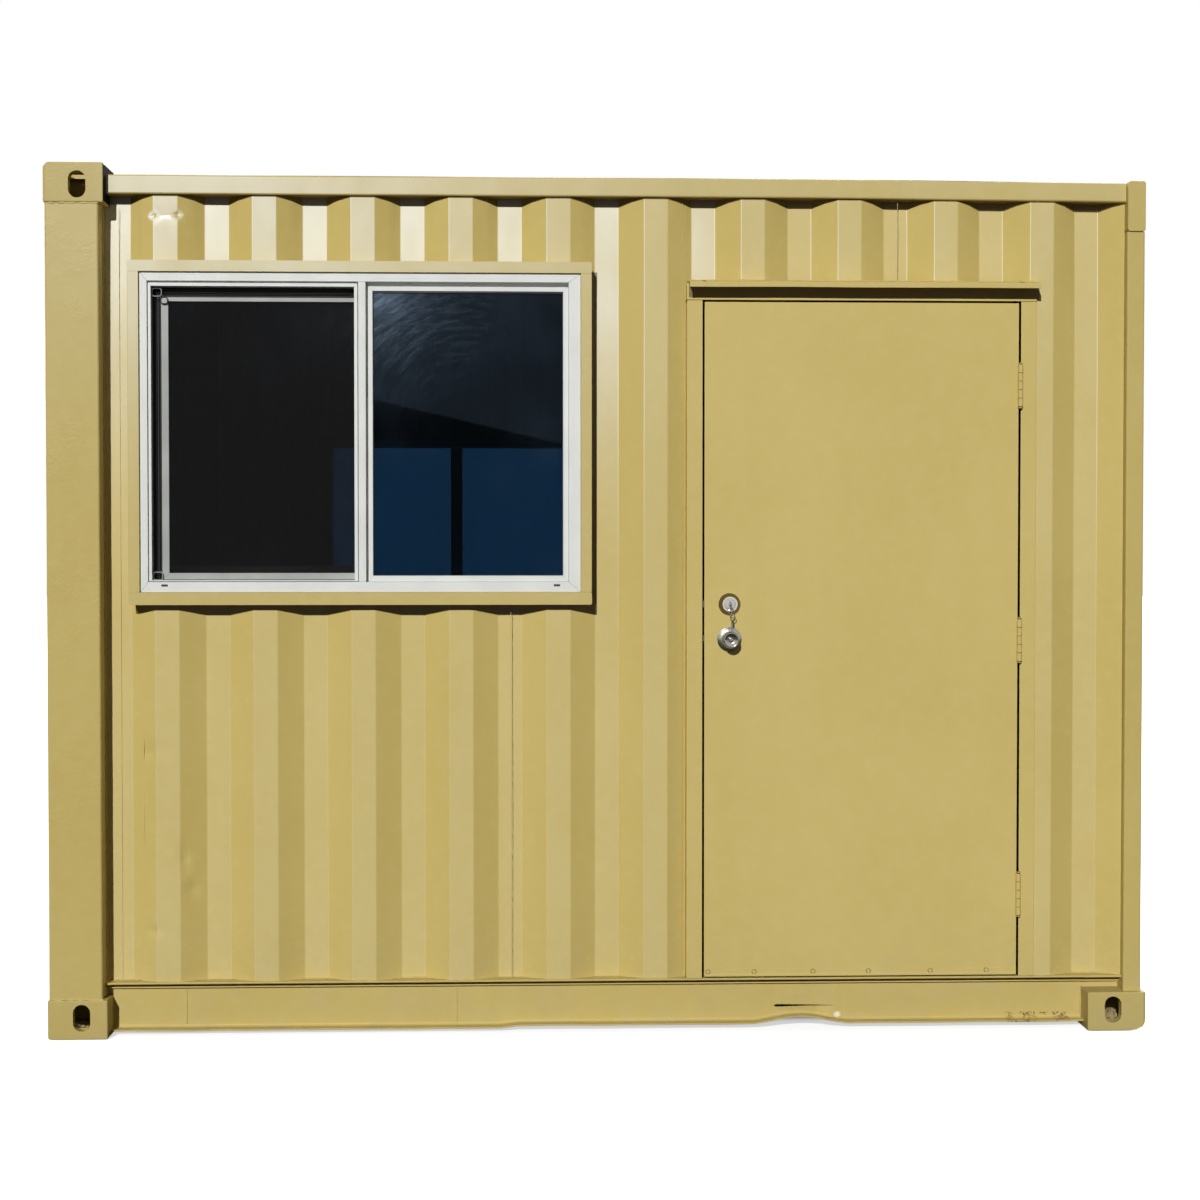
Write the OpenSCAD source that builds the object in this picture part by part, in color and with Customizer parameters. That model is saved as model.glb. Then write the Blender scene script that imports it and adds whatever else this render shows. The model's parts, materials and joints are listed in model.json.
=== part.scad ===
// Office container: a shortened steel freight container with a window and a personnel door in one long side.
// Millimetres, +Z up. Origin: centre of the four bottom castings, on the level of their soles.
// Inside the modules X runs from the left end, Y from the front face of the castings and Z from the soles.

/* [Overall] */
// Length over the bottom castings
overall_l = 3290; // [3150:5:6058]
// Width over the castings
overall_w = 2438; // [2000:2:3000]
// Height from the soles to the tops of the upper castings
overall_h = 2591; // [2560:1:3200]

/* [Corner castings] */
// Casting length along the container
cast_l = 178; // [170:1:200]
// Casting width across the container
cast_w = 162; // [155:1:190]
// Casting height
cast_h = 118; // [114:1:130]
// Wall thickness of the faces that carry apertures
cast_wall = 28; // [20:0.5:30]
// Wall thickness of the inner faces
cast_back = 14; // [8:0.5:14.5]
// Aperture centre from the end face
hole_from_end = 101.5; // [100:0.5:103]
// Aperture centre from the side face
hole_from_side = 89.5; // [86:0.5:92]
// Aperture centre above the sole
hole_from_sole = 65; // [60:0.5:68]
// Length of the sole aperture
sole_hole_l = 124; // [110:0.5:124]
// Width of the sole aperture
sole_hole_w = 63.5; // [50:0.5:66]
// Height of the side and end apertures
side_hole_h = 79.5; // [70:0.5:80]
// Width of the side aperture
side_hole_w = 51; // [40:0.5:60]
// Width of the end aperture
end_hole_w = 63.5; // [50:0.5:66]
// Rounding of the outer edges
cast_round = 12; // [4:1:16]
// Worn corner of the right front casting, along the sole
worn_l = 52; // [20:1:60]
// Worn corner of the right front casting, up the end face
worn_h = 22; // [10:1:40]

/* [Posts and beams] */
// Width of the left corner posts along the container
post_l = 158; // [120:1:165]
// Depth of the left corner posts
post_w = 130; // [90:1:155]
// Left corner posts' setback behind the casting faces
post_inset = 5; // [2:0.5:10]
// Plate thickness of the left corner posts
post_t = 6; // [4:0.5:12]
// Bend radius of the left corner posts
post_r = 16; // [8:1:30]
// Width of the right end posts and of the beam on them
slim_l = 54; // [40:1:80]
// Depth of the right end posts
slim_w = 100; // [60:1:140]
// Setback of the right end posts behind the casting face
slim_inset = 22; // [12:1:30]
// Wall thickness of the square tubes
tube_t = 4; // [2:0.5:8]
// Corner radius of the square tubes
tube_r = 6; // [5:0.5:10]
// Height of the right end beam
header_h = 150; // [100:1:220]
// Setback of the right end beam's capped ends
header_inset = 16; // [8:1:20]
// Setback of the right end pieces from the end faces of the castings
end_inset = 11; // [5:1:20]
// Width of the top side rails
rail_w = 60; // [50:1:90]
// Height of the top side rails
rail_h = 57; // [40:1:90]
// Setback of the top side rails behind the casting faces
rail_inset = 38; // [20:1:44]
// Top of the side rails below the overall height
rail_drop = 29; // [27:1:60]
// Height of the left end's top rail
end_rail_h = 90; // [70:1:120]
// Width of the end rails
end_rail_w = 60; // [50:1:90]
// Setback of the left end rails
end_rail_inset = 12; // [6:1:30]

/* [Base] */
// Top of the sill plates and of the floor
floor_z = 160.5; // [150:0.5:220]
// Sill plate thickness
sill_t = 6; // [4:0.5:8]
// Sill plate width
sill_w = 98; // [90:1:140]
// Setback of the sill plates' edges
sill_inset = 42; // [30:1:44]
// Setback of the bottom rails' webs
web_inset = 82; // [60:1:100]
// Plate thickness of the bottom rails
rail_t = 5; // [3:0.5:8]
// Underside of the bottom rails above the soles
rail_clear = 17.5; // [12:0.5:30]
// How far the bottom flanges stand out from the webs
foot_w = 36; // [20:1:50]
// How far the upper lips stand out from the webs
lip_w = 12; // [6:1:20]
// Top of the upper lips below the floor level
lip_drop = 17.5; // [12:0.5:30]
// Height of the cross members
member_h = 115; // [80:1:120]
// Flange width of the cross members
member_w = 45; // [30:1:60]
// Plate thickness of the cross members
member_t = 4.5; // [3:0.5:8]
// Spacing of the cross members
member_pitch = 300; // [220:5:400]
// Floor board thickness
board_t = 28; // [18:1:30]
// Number of floor sheets along the container
board_count = 3; // [1:1:6]

/* [Sheets] */
// Thickness of the corrugated sheet
sheet_t = 2; // [1.5:0.1:3]
// Corrugation depth of the long walls
wave_d = 36; // [20:1:38]
// Corrugation pitch of the long walls
wave_pitch = 291.4; // [250:0.2:330]
// Width of the flats of the long walls
wave_flat = 71; // [60:1:90]
// Centre of the first outer flat from the left end
first_crest = 350.3; // [330:0.1:360]
// Setback of the outer flats behind the casting faces
wall_inset = 49; // [46:0.5:56]
// Corrugation depth of the end walls
end_wave_d = 42; // [20:1:44]
// Corrugation pitch of the end walls
end_pitch = 250; // [200:5:320]
// Width of the flats of the end walls
end_flat = 85; // [60:1:95]
// Height of the roof ribs
rib_h = 18; // [8:1:22]
// Pitch of the roof ribs
rib_pitch = 209; // [180:1:300]
// Width of a roof rib at its foot
rib_w = 118; // [80:1:150]
// Run of a roof rib's sloping sides
rib_slope = 14; // [5:1:30]
// Flat margin of the roof along the side rails
roof_margin = 160; // [70:1:200]

/* [Window] */
// Left edge of the window surround from the left end
window_x = 244; // [240:1:300]
// Underside of the window surround
window_z = 1289; // [900:1:1300]
// Width of the window surround
window_w = 1371; // [1000:1:1380]
// Height of the window surround
window_h = 1018; // [700:1:1100]
// Face width of the surround's side and top bars
surround_w = 33; // [25:1:45]
// Face width of the surround's bottom bar
surround_sill = 37; // [25:1:50]
// Depth of the surround bars
surround_d = 38; // [25:1:45]
// Wall thickness of the surround bars
surround_t = 2.5; // [1.5:0.5:4]
// Setback of the window frame behind the surround's face
frame_inset = 9; // [2:1:15]
// Depth of the window frame
frame_d = 86; // [80:1:110]
// Face width of the window frame's left stile
frame_left = 23; // [15:1:35]
// Face width of the window frame's right stile
frame_right = 36; // [20:1:50]
// Face width of the window frame's head
frame_top = 24; // [15:1:35]
// Face width of the window frame's sill
frame_sill = 31; // [20:1:50]
// Width of the glazing step in the left light
light_step = 10; // [6:1:15]
// Set back of the glazing step
light_step_d = 14; // [8:1:18]
// Left edge of the mullion from the frame's left edge
mullion_x = 644.5; // [560:0.5:700]
// Mullion face width
mullion_w = 22; // [16:1:40]
// Mullion depth
mullion_d = 26; // [18:1:27]
// Gap between the mullion and the fixed sash
sash_gap = 6; // [2:0.5:12]
// Gap above the fixed sash
sash_head_gap = 15; // [2:1:25]
// Face width of the fixed sash
sash_w = 14; // [10:1:30]
// Face width of the fixed sash's bottom rail
sash_foot = 18; // [10:1:30]
// Depth of the fixed sash
sash_d = 17; // [12:1:17]
// Glass thickness
glass_t = 5; // [3:1:8]
// Left margin of the insect screen in its light
screen_left = 27; // [10:1:40]
// Margin of the insect screen under the head
screen_top = 33; // [15:1:45]
// Width of the insect screen's upright and bottom bars
screen_bar = 21; // [12:1:30]
// Width of the insect screen's top bar
screen_head = 12; // [8:1:20]
// Thickness of the insect screen's bars
screen_t = 8; // [5:1:9]
// Thickness of the screen cloth
cloth_t = 1; // [0.6:0.1:2]
// Bar width of the sliding sash
slider_w = 42; // [30:1:50]
// Depth of the sliding sash
slider_d = 20; // [14:1:24]

/* [Back window] */
// Left edge of the back window's surround from the left end
back_x = 561; // [300:1:900]
// Underside of the back window's surround
back_z = 1289; // [900:1:1300]
// Width of the back window's surround
back_w = 1140; // [700:1:1400]
// Height of the back window's surround
back_h = 652; // [500:1:1000]
// Face width of the back window's frame
back_face = 28; // [15:1:45]
// Face width of the back window's mullion
back_mullion = 48; // [20:1:60]

/* [Door] */
// Width of the door leaf
leaf_w = 950; // [700:1:1000]
// Height of the door leaf
leaf_h = 2029; // [1800:1:2040]
// Thickness of the door leaf
leaf_t = 45; // [35:1:50]
// Sheet thickness of the leaf's skins
skin_t = 1.5; // [1:0.1:3]
// Depth of the channels in the leaf's head and foot
closer_drop = 20; // [10:1:40]
// Gap round the door leaf
leaf_gap = 5; // [5:0.5:8]
// Setback of the leaf's face behind the casting faces
leaf_inset = 42; // [40.5:0.5:46]
// Right edge of the right jamb from the right end
jamb_from_right = 334; // [320:1:600]
// Face width of the jambs and of the head
jamb_w = 48; // [40:1:60]
// Depth of the jambs and of the head
jamb_d = 76; // [70:1:110]
// Wall thickness of the jambs and of the head
jamb_t = 3; // [2:0.5:5]
// Setback of the jamb faces
jamb_inset = 40; // [38:0.5:44]
// Width of the door stops
stop_w = 12; // [8:1:20]
// Depth of the door stops
stop_d = 22; // [10:1:24]
// How far the drip cap stands out from the head
cap_out = 58; // [20:1:70]
// Height of the drip cap's front edge
cap_h = 16; // [8:1:30]
// Sheet thickness of the drip cap
cap_t = 3; // [2:0.5:5]
// Rise of the drip cap from its front edge to the wall
cap_rise = 12; // [8:1:20]
// Height of the sweep across the leaf's foot
sweep_h = 20; // [12:1:40]
// Thickness of the sweep
sweep_t = 4; // [3:0.5:8]

/* [Hinges] */
// Hinge height
hinge_h = 127; // [90:1:150]
// Knuckle radius
knuckle_r = 8; // [6:0.1:8]
// Number of knuckles
knuckles = 5; // [3:2:7]
// Pin radius
pin_r = 3; // [2:0.1:3.5]
// Radial clearance of the pin
pin_play = 0.06; // [0.04:0.01:0.1]
// End play between knuckles
knuckle_play = 0.4; // [0.3:0.1:0.8]
// Distance of the hinge axis in front of the leaf's face
axis_out = 11; // [10:0.5:14]
// Width of the hinge plates
plate_w = 38; // [30:1:42]
// Thickness of the hinge plates
plate_t = 2; // [1.5:0.1:2.3]
// Heights of the hinge centres above the floor
hinge_low_z = 251; // [180:1:350]
// Middle hinge's centre above the floor
hinge_mid_z = 1020; // [800:1:1200]
// Upper hinge's centre above the floor
hinge_high_z = 1786; // [1600:1:1850]

/* [Lock] */
// Distance of the lock centres from the leaf's free edge
backset = 76; // [60:1:90]
// Knob centre above the floor
knob_z = 1023; // [850:1:1100]
// Dead lock centre above the knob
lock_rise = 106; // [95:1:160]
// Knob radius
knob_r = 25; // [20:1:30]
// How far the knobs stand out from the leaf
knob_out = 60; // [50:1:70]
// Spindle radius
spindle_r = 8; // [5:0.5:10]
// Radial clearance of the spindle in the leaf
spindle_play = 5; // [5:0.5:8]
// Radial clearance of the spindle in the roses
rose_play = 0.1; // [0.05:0.01:0.3]
// Rose radius
rose_r = 37; // [30:1:45]
// Rose thickness
rose_t = 7; // [4:1:12]
// Dead lock collar radius
collar_r = 33; // [26:1:36]
// Dead lock collar thickness
collar_t = 22; // [12:1:30]
// Radius of the dead lock's face
plug_r = 23; // [16:1:25]

/* [Hidden] */
paint = [0.76, 0.68, 0.44];
zinc = [0.75, 0.76, 0.77];
white = [0.9, 0.9, 0.88];
// Seat gap between pieces that are welded or bedded on each other
seat = 0.3;
// Overshoot of cuts
over = 1;

rail_top = overall_h - rail_drop;
rail_bottom = rail_top - rail_h;
wall_bottom = floor_z + seat;
wall_top = rail_bottom - seat;
post_x2 = post_inset + post_l;
post_y2 = post_inset + post_w;
slim_x1 = overall_l - end_inset - slim_l;
header_bottom = rail_top + 4 - header_h;
member_top = floor_z - board_t - seat;
end_rail_top = rail_top;
end_rail_bottom = end_rail_top - end_rail_h;

jamb_right_x = overall_l - jamb_from_right - jamb_w;
jamb_left_x = jamb_right_x - leaf_w - 2 * leaf_gap - jamb_w;
leaf_x = jamb_left_x + jamb_w + leaf_gap;
leaf_z = floor_z + leaf_gap + 0.5;
head_z = leaf_z + leaf_h + leaf_gap;
stop_y = leaf_inset + leaf_t + leaf_gap + 0.5;
hinge_x = leaf_x + leaf_w + leaf_gap / 2;
hinge_y = leaf_inset - axis_out;
lock_x = leaf_x + backset;

surround_y = wall_inset - seat - surround_d;
hole_x1 = window_x + surround_w;
hole_x2 = window_x + window_w - surround_w;
hole_z1 = window_z + surround_sill;
hole_z2 = window_z + window_h - surround_w;
frame_x = hole_x1 + seat;
frame_z = hole_z1 + seat;
frame_w = hole_x2 - hole_x1 - 2 * seat;
frame_h = hole_z2 - hole_z1 - 2 * seat;
frame_y = surround_y + frame_inset;
light_x = frame_left + light_step;
light_z = frame_sill + light_step / 2;
light_top = frame_h - frame_top - light_step - 5;
back_x1 = back_x + surround_w;
back_x2 = back_x + back_w - surround_w;
back_z1 = back_z + surround_sill;
back_z2 = back_z + back_h - surround_w;
back_frame_w = back_x2 - back_x1 - 2 * seat;
back_frame_h = back_z2 - back_z1 - 2 * seat;
screen_x2 = mullion_x + mullion_w - 6;
screen_y = mullion_d + 2;
slider_y = screen_y + screen_t + 5;

// Places the children in the part's own frame
module site() { translate([-overall_l / 2, -overall_w / 2, 0]) children(); }
// Moves front pieces to the back, and left pieces to the right
module to_back() { translate([0, overall_w, 0]) mirror([0, 1, 0]) children(); }
module to_right() { translate([overall_l, 0, 0]) mirror([1, 0, 0]) children(); }
module to_top() { translate([0, 0, overall_h]) mirror([0, 0, 1]) children(); }

// Rounded rectangle from the origin to (w, h)
function arc(cx, cy, r, a, n = 6) = [for (i = [0 : n]) [cx + r * cos(a + 90 * i / n), cy + r * sin(a + 90 * i / n)]];
function round_rect(w, h, r) =
    concat(arc(w - r, h - r, r, 0), arc(r, h - r, r, 90), arc(r, r, r, 180), arc(w - r, r, r, 270));
// Rectangle with only the corner at the origin rounded
function one_round(w, h, r) = concat([[w, h], [0, h]], arc(r, r, r, 180), [[w, 0]]);

// Upright tube on the section w by h
module tube(w, h, t, r, length) {
    linear_extrude(length) difference() {
        polygon(round_rect(w, h, r));
        translate([t, t]) polygon(round_rect(w - 2 * t, h - 2 * t, max(r - t, 0.5)));
    }
}
// Stadium-shaped cutter along Z, its length along X
module slot(length, width, depth) {
    for (s = [-1, 1]) translate([s * (length - width) / 2, 0, 0]) cylinder(h = depth, r = width / 2, $fn = 48);
    translate([-(length - width) / 2, -width / 2, 0]) cube([length - width, width, depth]);
}
// Box from corner to corner
module block(a, b) { translate(a) cube(b - a); }

// Depth of a trapezoid wave at u from the middle of an outer flat
function wave(u, pitch, flat, depth, slope) =
    let (d = abs(u - pitch * round(u / pitch)))
    d <= flat / 2 ? 0 : d >= flat / 2 + slope ? depth : depth * (d - flat / 2) / slope;
// Wave line from a to b, the first outer flat's centre at c
function wave_line(a, b, c, pitch, flat, depth, slope) =
    let (k0 = floor((a - c) / pitch), k1 = ceil((b - c) / pitch))
    concat([[a, wave(a - c, pitch, flat, depth, slope)]],
           [for (k = [k0 : k1], s = [[-1, slope], [-1, 0], [1, 0], [1, slope]])
               let (x = c + k * pitch + s[0] * (flat / 2 + s[1]))
               if (x > a + 0.01 && x < b - 0.01) [x, s[1] == 0 ? 0 : depth]],
           [[b, wave(b - c, pitch, flat, depth, slope)]]);
function reversed(p) = [for (i = [len(p) - 1 : -1 : 0]) p[i]];
function raised(p, t) = [for (q = p) [q[0], q[1] + t]];
// Section of a corrugated sheet, its outer flats on y = 0, both faces parallel
function sheet_section(a, b, c, pitch, flat, depth) =
    let (slope = pitch / 2 - flat, tuck = 2 * sheet_t * tan(atan(depth / slope) / 2))
    concat(wave_line(a, b, c, pitch, flat, depth, slope),
           raised(reversed(wave_line(a, b, c, pitch, flat - tuck, depth, slope)), sheet_t));

// Corrugated sheet of a long wall between two X and two Z values
module long_sheet(x1, x2, z1, z2) {
    translate([0, wall_inset, z1]) linear_extrude(z2 - z1)
        polygon(sheet_section(x1, x2, first_crest, wave_pitch, wave_flat, wave_d));
}
// Corrugated sheet of an end wall, its outer flats at x = inset
module end_sheet(inset, y1, y2, z1, z2) {
    translate([inset, 0, z1]) mirror([1, -1, 0]) linear_extrude(z2 - z1)
        polygon(sheet_section(y1, y2, overall_w / 2, end_pitch, end_flat, end_wave_d));
}

// Hollow corner casting with its outer corner at the origin
module casting() {
    difference() {
        intersection() {
            linear_extrude(cast_h) polygon(one_round(cast_l, cast_w, cast_round));
            translate([0, cast_w, 0]) rotate([90, 0, 0]) linear_extrude(cast_w)
                polygon(one_round(cast_l, cast_h, cast_round));
        }
        block([cast_wall, cast_wall, cast_wall], [cast_l - cast_back, cast_w - cast_back, cast_h - cast_back]);
        translate([hole_from_end, hole_from_side, -over]) slot(sole_hole_l, sole_hole_w, cast_wall + 2 * over);
        translate([hole_from_end, cast_wall + over, hole_from_sole]) rotate([90, 90, 0])
            slot(side_hole_h, side_hole_w, cast_wall + 2 * over);
        translate([-over, hole_from_side, hole_from_sole]) rotate([0, 90, 0])
            slot(side_hole_h, end_hole_w, cast_wall + 2 * over);
    }
}
module casting_bottom_front_left() { color(paint) site() casting(); }
module casting_bottom_back_left() { color(paint) site() to_back() casting(); }
module casting_bottom_back_right() { color(paint) site() to_back() to_right() casting(); }
module casting_bottom_front_right() {
    color(paint) site() to_right() difference() {
        casting();
        translate([0, cast_w + over, 0]) rotate([90, 0, 0]) linear_extrude(cast_w + 2 * over)
            polygon([[-over, -over], [worn_l, -over], [worn_l, 0], [worn_h / 2, worn_h / 2], [0, worn_h * 1.6],
                     [-over, worn_h * 1.6]]);
    }
}
module casting_top_front_left() { color(paint) site() to_top() casting(); }
module casting_top_back_left() { color(paint) site() to_back() to_top() casting(); }

// Posts
module left_post() {
    translate([post_inset, post_inset, cast_h + seat])
        tube(post_l, post_w, post_t, post_r, overall_h - 2 * cast_h - 2 * seat);
}
module right_post() {
    translate([slim_x1, slim_inset, cast_h + seat])
        tube(slim_l, slim_w, tube_t, tube_r, header_bottom - cast_h - 2 * seat);
}
module posts_left() {
    color(paint) site() {
        left_post();
        to_back() left_post();
    }
}
module posts_right() {
    color(paint) site() {
        right_post();
        to_back() right_post();
    }
}

// End beams
module header_right() {
    color(paint) site() {
        translate([slim_x1, overall_w - header_inset - tube_t - seat, header_bottom]) rotate([90, 0, 0])
            tube(slim_l, header_h, tube_t, tube_r, overall_w - 2 * (header_inset + tube_t + seat));
        for (y = [header_inset + tube_t, overall_w - header_inset])
            translate([slim_x1, y, header_bottom]) rotate([90, 0, 0]) linear_extrude(tube_t)
                polygon(round_rect(slim_l, header_h, tube_r));
    }
}
module header_left() {
    color(paint) site() translate([end_rail_inset, overall_w - cast_w - seat, end_rail_bottom]) rotate([90, 0, 0])
        tube(end_rail_w, end_rail_h, tube_t, tube_r, overall_w - 2 * cast_w - 2 * seat);
}
// Box sill between the castings, and the pads over them that carry it on to the posts
module end_sill(x, width, post_side) {
    difference() {
        block([x, cast_w + seat, rail_clear], [x + width, overall_w - cast_w - seat, floor_z]);
        block([x + rail_t, cast_w - over, rail_clear + rail_t],
              [x + width - rail_t, overall_w - cast_w + over, floor_z - rail_t]);
    }
    for (y = [[post_side + seat, cast_w], [overall_w - cast_w, overall_w - post_side - seat]])
        block([x, y[0], cast_h + seat], [x + width, y[1], floor_z]);
}
module sill_left() { color(paint) site() end_sill(end_rail_inset, end_rail_w, post_y2); }
module sill_right() { color(paint) site() to_right() end_sill(end_inset, slim_l, slim_inset + slim_w); }

// Side rails
module top_rail() {
    translate([cast_l + seat, rail_inset, rail_bottom]) rotate([90, 0, 90])
        tube(rail_w, rail_h, tube_t, tube_r, slim_x1 - cast_l - 2 * seat);
}
module top_rails() {
    color(paint) site() {
        top_rail();
        to_back() top_rail();
    }
}
// Folded bottom rail: foot, web, lip and the sill plate that the wall stands on
module rail_fold(x1, x2) {
    lip_z = floor_z - lip_drop;
    translate([x1, 0, 0]) rotate([90, 0, 90]) linear_extrude(x2 - x1)
        polygon([[web_inset - foot_w, rail_clear], [web_inset + rail_t, rail_clear],
                 [web_inset + rail_t, floor_z - sill_t], [sill_inset + sill_w, floor_z - sill_t],
                 [sill_inset + sill_w, floor_z], [sill_inset, floor_z], [sill_inset, floor_z - sill_t],
                 [web_inset, floor_z - sill_t], [web_inset, lip_z], [web_inset - lip_w, lip_z],
                 [web_inset - lip_w, lip_z - rail_t], [web_inset, lip_z - rail_t],
                 [web_inset, rail_clear + rail_t], [web_inset - foot_w, rail_clear + rail_t]]);
}
// The rail between the castings, and its upper part over them as far as the posts
module bottom_rail() {
    rail_fold(cast_l + seat, overall_l - cast_l - seat);
    for (x = [[post_x2 + seat, cast_l], [overall_l - cast_l, slim_x1 - seat]]) intersection() {
        rail_fold(x[0], x[1]);
        block([0, 0, cast_h + seat], [overall_l, overall_w, overall_h]);
    }
}
module bottom_rail_front() { color(paint) site() bottom_rail(); }
module bottom_rail_back() { color(paint) site() to_back() bottom_rail(); }

// Base
member_run = overall_l - 2 * cast_l - member_w;
member_n = floor(member_run / member_pitch);
module cross_members() {
    color(paint) site() for (i = [0 : member_n])
        translate([cast_l + i * member_run / member_n, web_inset + rail_t + seat, member_top - member_h])
            difference() {
                cube([member_w, overall_w - 2 * (web_inset + rail_t + seat), member_h]);
                translate([member_t, -over, member_t])
                    cube([member_w, overall_w, member_h - 2 * member_t]);
            }
}
module floor_boards() {
    x1 = end_rail_inset + end_rail_w + seat;
    x2 = slim_x1 - seat;
    y1 = sill_inset + sill_w + seat;
    pitch = (x2 - x1) / board_count;
    color("tan") site() for (i = [0 : board_count - 1])
        block([x1 + i * pitch, y1, floor_z - board_t], [x1 + (i + 1) * pitch - 2, overall_w - y1, floor_z]);
}

// Roof sheet with raised ribs across the container
function ribs(x1, x2, z, grow) =
    let (n = floor((x2 - x1) / rib_pitch), first = (x1 + x2 - (n - 1) * rib_pitch) / 2,
         w = rib_w / 2 + grow)
    [for (i = [0 : n - 1]) [first + i * rib_pitch - w, first + i * rib_pitch + w]];
module rib_set(x1, x2, drop) {
    intersection() {
        union() for (r = ribs(x1, x2, 0, -drop))
            translate([0, overall_w, rail_top + seat]) rotate([90, 0, 0]) linear_extrude(overall_w)
                polygon([[r[0], -over], [r[1], -over], [r[1], sheet_t - drop], [r[1] - rib_slope, rib_h - drop],
                         [r[0] + rib_slope, rib_h - drop], [r[0], sheet_t - drop]]);
        translate([x1, 0, rail_top + seat]) rotate([90, 0, 90]) linear_extrude(x2 - x1)
            polygon([[roof_margin + drop, -over], [overall_w - roof_margin - drop, -over],
                     [overall_w - roof_margin - drop, sheet_t - drop],
                     [overall_w - roof_margin - rib_slope - drop, rib_h - drop],
                     [roof_margin + rib_slope + drop, rib_h - drop], [roof_margin + drop, sheet_t - drop]]);
    }
}
module roof() {
    x1 = end_rail_inset + 4;
    x2 = slim_x1 - seat;
    y1 = rail_inset + 6;
    z1 = rail_top + seat;
    color(paint) site() difference() {
        union() {
            block([x1, y1, z1], [x2, overall_w - y1, z1 + sheet_t]);
            intersection() {
                rib_set(cast_l, x2, 0);
                block([x1, 0, z1], [x2, overall_w, overall_h]);
            }
        }
        rib_set(cast_l, x2, sheet_t);
        block([0, 0, z1 - over], [cast_l + seat, cast_w + seat, overall_h]);
        block([0, overall_w - cast_w - seat, z1 - over], [cast_l + seat, overall_w, overall_h]);
    }
}

// Walls
module wall_front_left() {
    color(paint) site() difference() {
        long_sheet(post_x2 + seat, hole_x1, wall_bottom, wall_top);
        block([0, 0, overall_h - cast_h - seat], [cast_l + seat, cast_w, overall_h]);
    }
}
module wall_over_window() { color(paint) site() long_sheet(hole_x1, hole_x2, hole_z2, wall_top); }
module wall_under_window() { color(paint) site() long_sheet(hole_x1, hole_x2, wall_bottom, hole_z1); }
module wall_front_middle() { color(paint) site() long_sheet(hole_x2, jamb_left_x - seat, wall_bottom, wall_top); }
module wall_over_door() {
    color(paint) site() long_sheet(jamb_left_x - seat, jamb_right_x + jamb_w + seat, head_z + jamb_w + seat, wall_top);
}
module wall_front_right() {
    color(paint) site() long_sheet(jamb_right_x + jamb_w + seat, slim_x1 - seat, wall_bottom, wall_top);
}
module wall_back() {
    color(paint) site() to_back() {
        difference() {
            long_sheet(post_x2 + seat, back_x1 - seat, wall_bottom, wall_top);
            block([0, 0, overall_h - cast_h - seat], [cast_l + seat, cast_w, overall_h]);
        }
        long_sheet(back_x1, back_x2, wall_bottom, back_z1);
        long_sheet(back_x1, back_x2, back_z2, wall_top);
        long_sheet(back_x2 + seat, slim_x1 - seat, wall_bottom, wall_top);
    }
}
module wall_left_end() {
    color(paint) site() end_sheet(end_rail_inset + 6, post_y2 + seat, overall_w - post_y2 - seat,
                                  wall_bottom, end_rail_bottom - seat);
}
module wall_right_end() {
    color(paint) site() to_right() end_sheet(end_inset + 5, slim_inset + slim_w + seat,
                                             overall_w - slim_inset - slim_w - seat,
                                             wall_bottom, header_bottom - seat);
}

// Window: pieces in the window frame's own corner, Y back from the frame's face
module in_window() { translate([frame_x, frame_y, frame_z]) children(); }
module ring(x1, x2, y1, y2, z1, z2, left, right, low, top) {
    difference() {
        block([x1, y1, z1], [x2, y2, z2]);
        block([x1 + left, y1 - over, z1 + low], [x2 - right, y2 + over, z2 - top]);
    }
}
// Surround bar w by h with capped ends; it opens into the side bars at its lower or upper edge
module cap_bar(w, h, z_open) {
    difference() {
        linear_extrude(surround_d) polygon(round_rect(w, h, 4));
        block([surround_t, surround_t, surround_t], [w - surround_t, h - surround_t, surround_d - surround_t]);
        for (x = [surround_t, w - surround_w + surround_t])
            block([x, z_open - surround_t - over, surround_t],
                  [x + surround_w - 2 * surround_t, z_open + surround_t + over, surround_d - surround_t]);
    }
}
module surround(x, z, w, h) {
    translate([x, surround_y + surround_d, z]) rotate([90, 0, 0]) {
        cap_bar(w, surround_sill, surround_sill);
        translate([0, h - surround_w, 0]) cap_bar(w, surround_w, 0);
        for (side = [seat, w - surround_w])
            translate([side, surround_sill + seat, 0]) rotate([-90, 0, 0]) mirror([0, 1, 0])
                tube(surround_w - seat, surround_d, surround_t, 3, h - surround_sill - surround_w - 2 * seat);
    }
}
module window_surround() {
    color(paint) site() {
        surround(window_x, window_z, window_w, window_h);
        to_back() surround(back_x, back_z, back_w, back_h);
    }
}
module in_back_window() { to_back() translate([back_x1 + seat, frame_y, back_z1 + seat]) children(); }
module window_frame() {
    color(white) site() in_back_window() {
        ring(0, back_frame_w, 0, frame_d, 0, back_frame_h, back_face, back_face, back_face, back_face);
        block([(back_frame_w - back_mullion) / 2, 0, back_face - over],
              [(back_frame_w + back_mullion) / 2, mullion_d, back_frame_h - back_face + over]);
    }
    color(white) site() in_window() {
        difference() {
            union() {
                ring(0, frame_w, 0, frame_d, 0, frame_h, frame_left, frame_right, frame_sill, frame_top);
                ring(0, mullion_x + mullion_w, light_step_d, mullion_d, 0, frame_h, light_x,
                     mullion_w + light_step, light_z, frame_h - light_top);
                ring(0, frame_w, mullion_d, frame_d, 0, frame_h, light_x,
                     frame_right, light_z, frame_h - light_top);
                block([mullion_x, 0, frame_sill - over], [mullion_x + mullion_w, mullion_d, frame_h - frame_top + over]);
            }
            for (x = [61, frame_w - 81])
                block([x, -over, frame_sill / 2 + 2], [x + 18, 6, frame_sill / 2 + 5.5]);
        }
    }
}
fixed_x = mullion_x + mullion_w + sash_gap;
fixed_x2 = frame_w - frame_right - seat;
fixed_z = frame_sill + seat;
fixed_top = frame_h - frame_top - sash_head_gap;
fixed_y = mullion_d - sash_d - seat;
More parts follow.
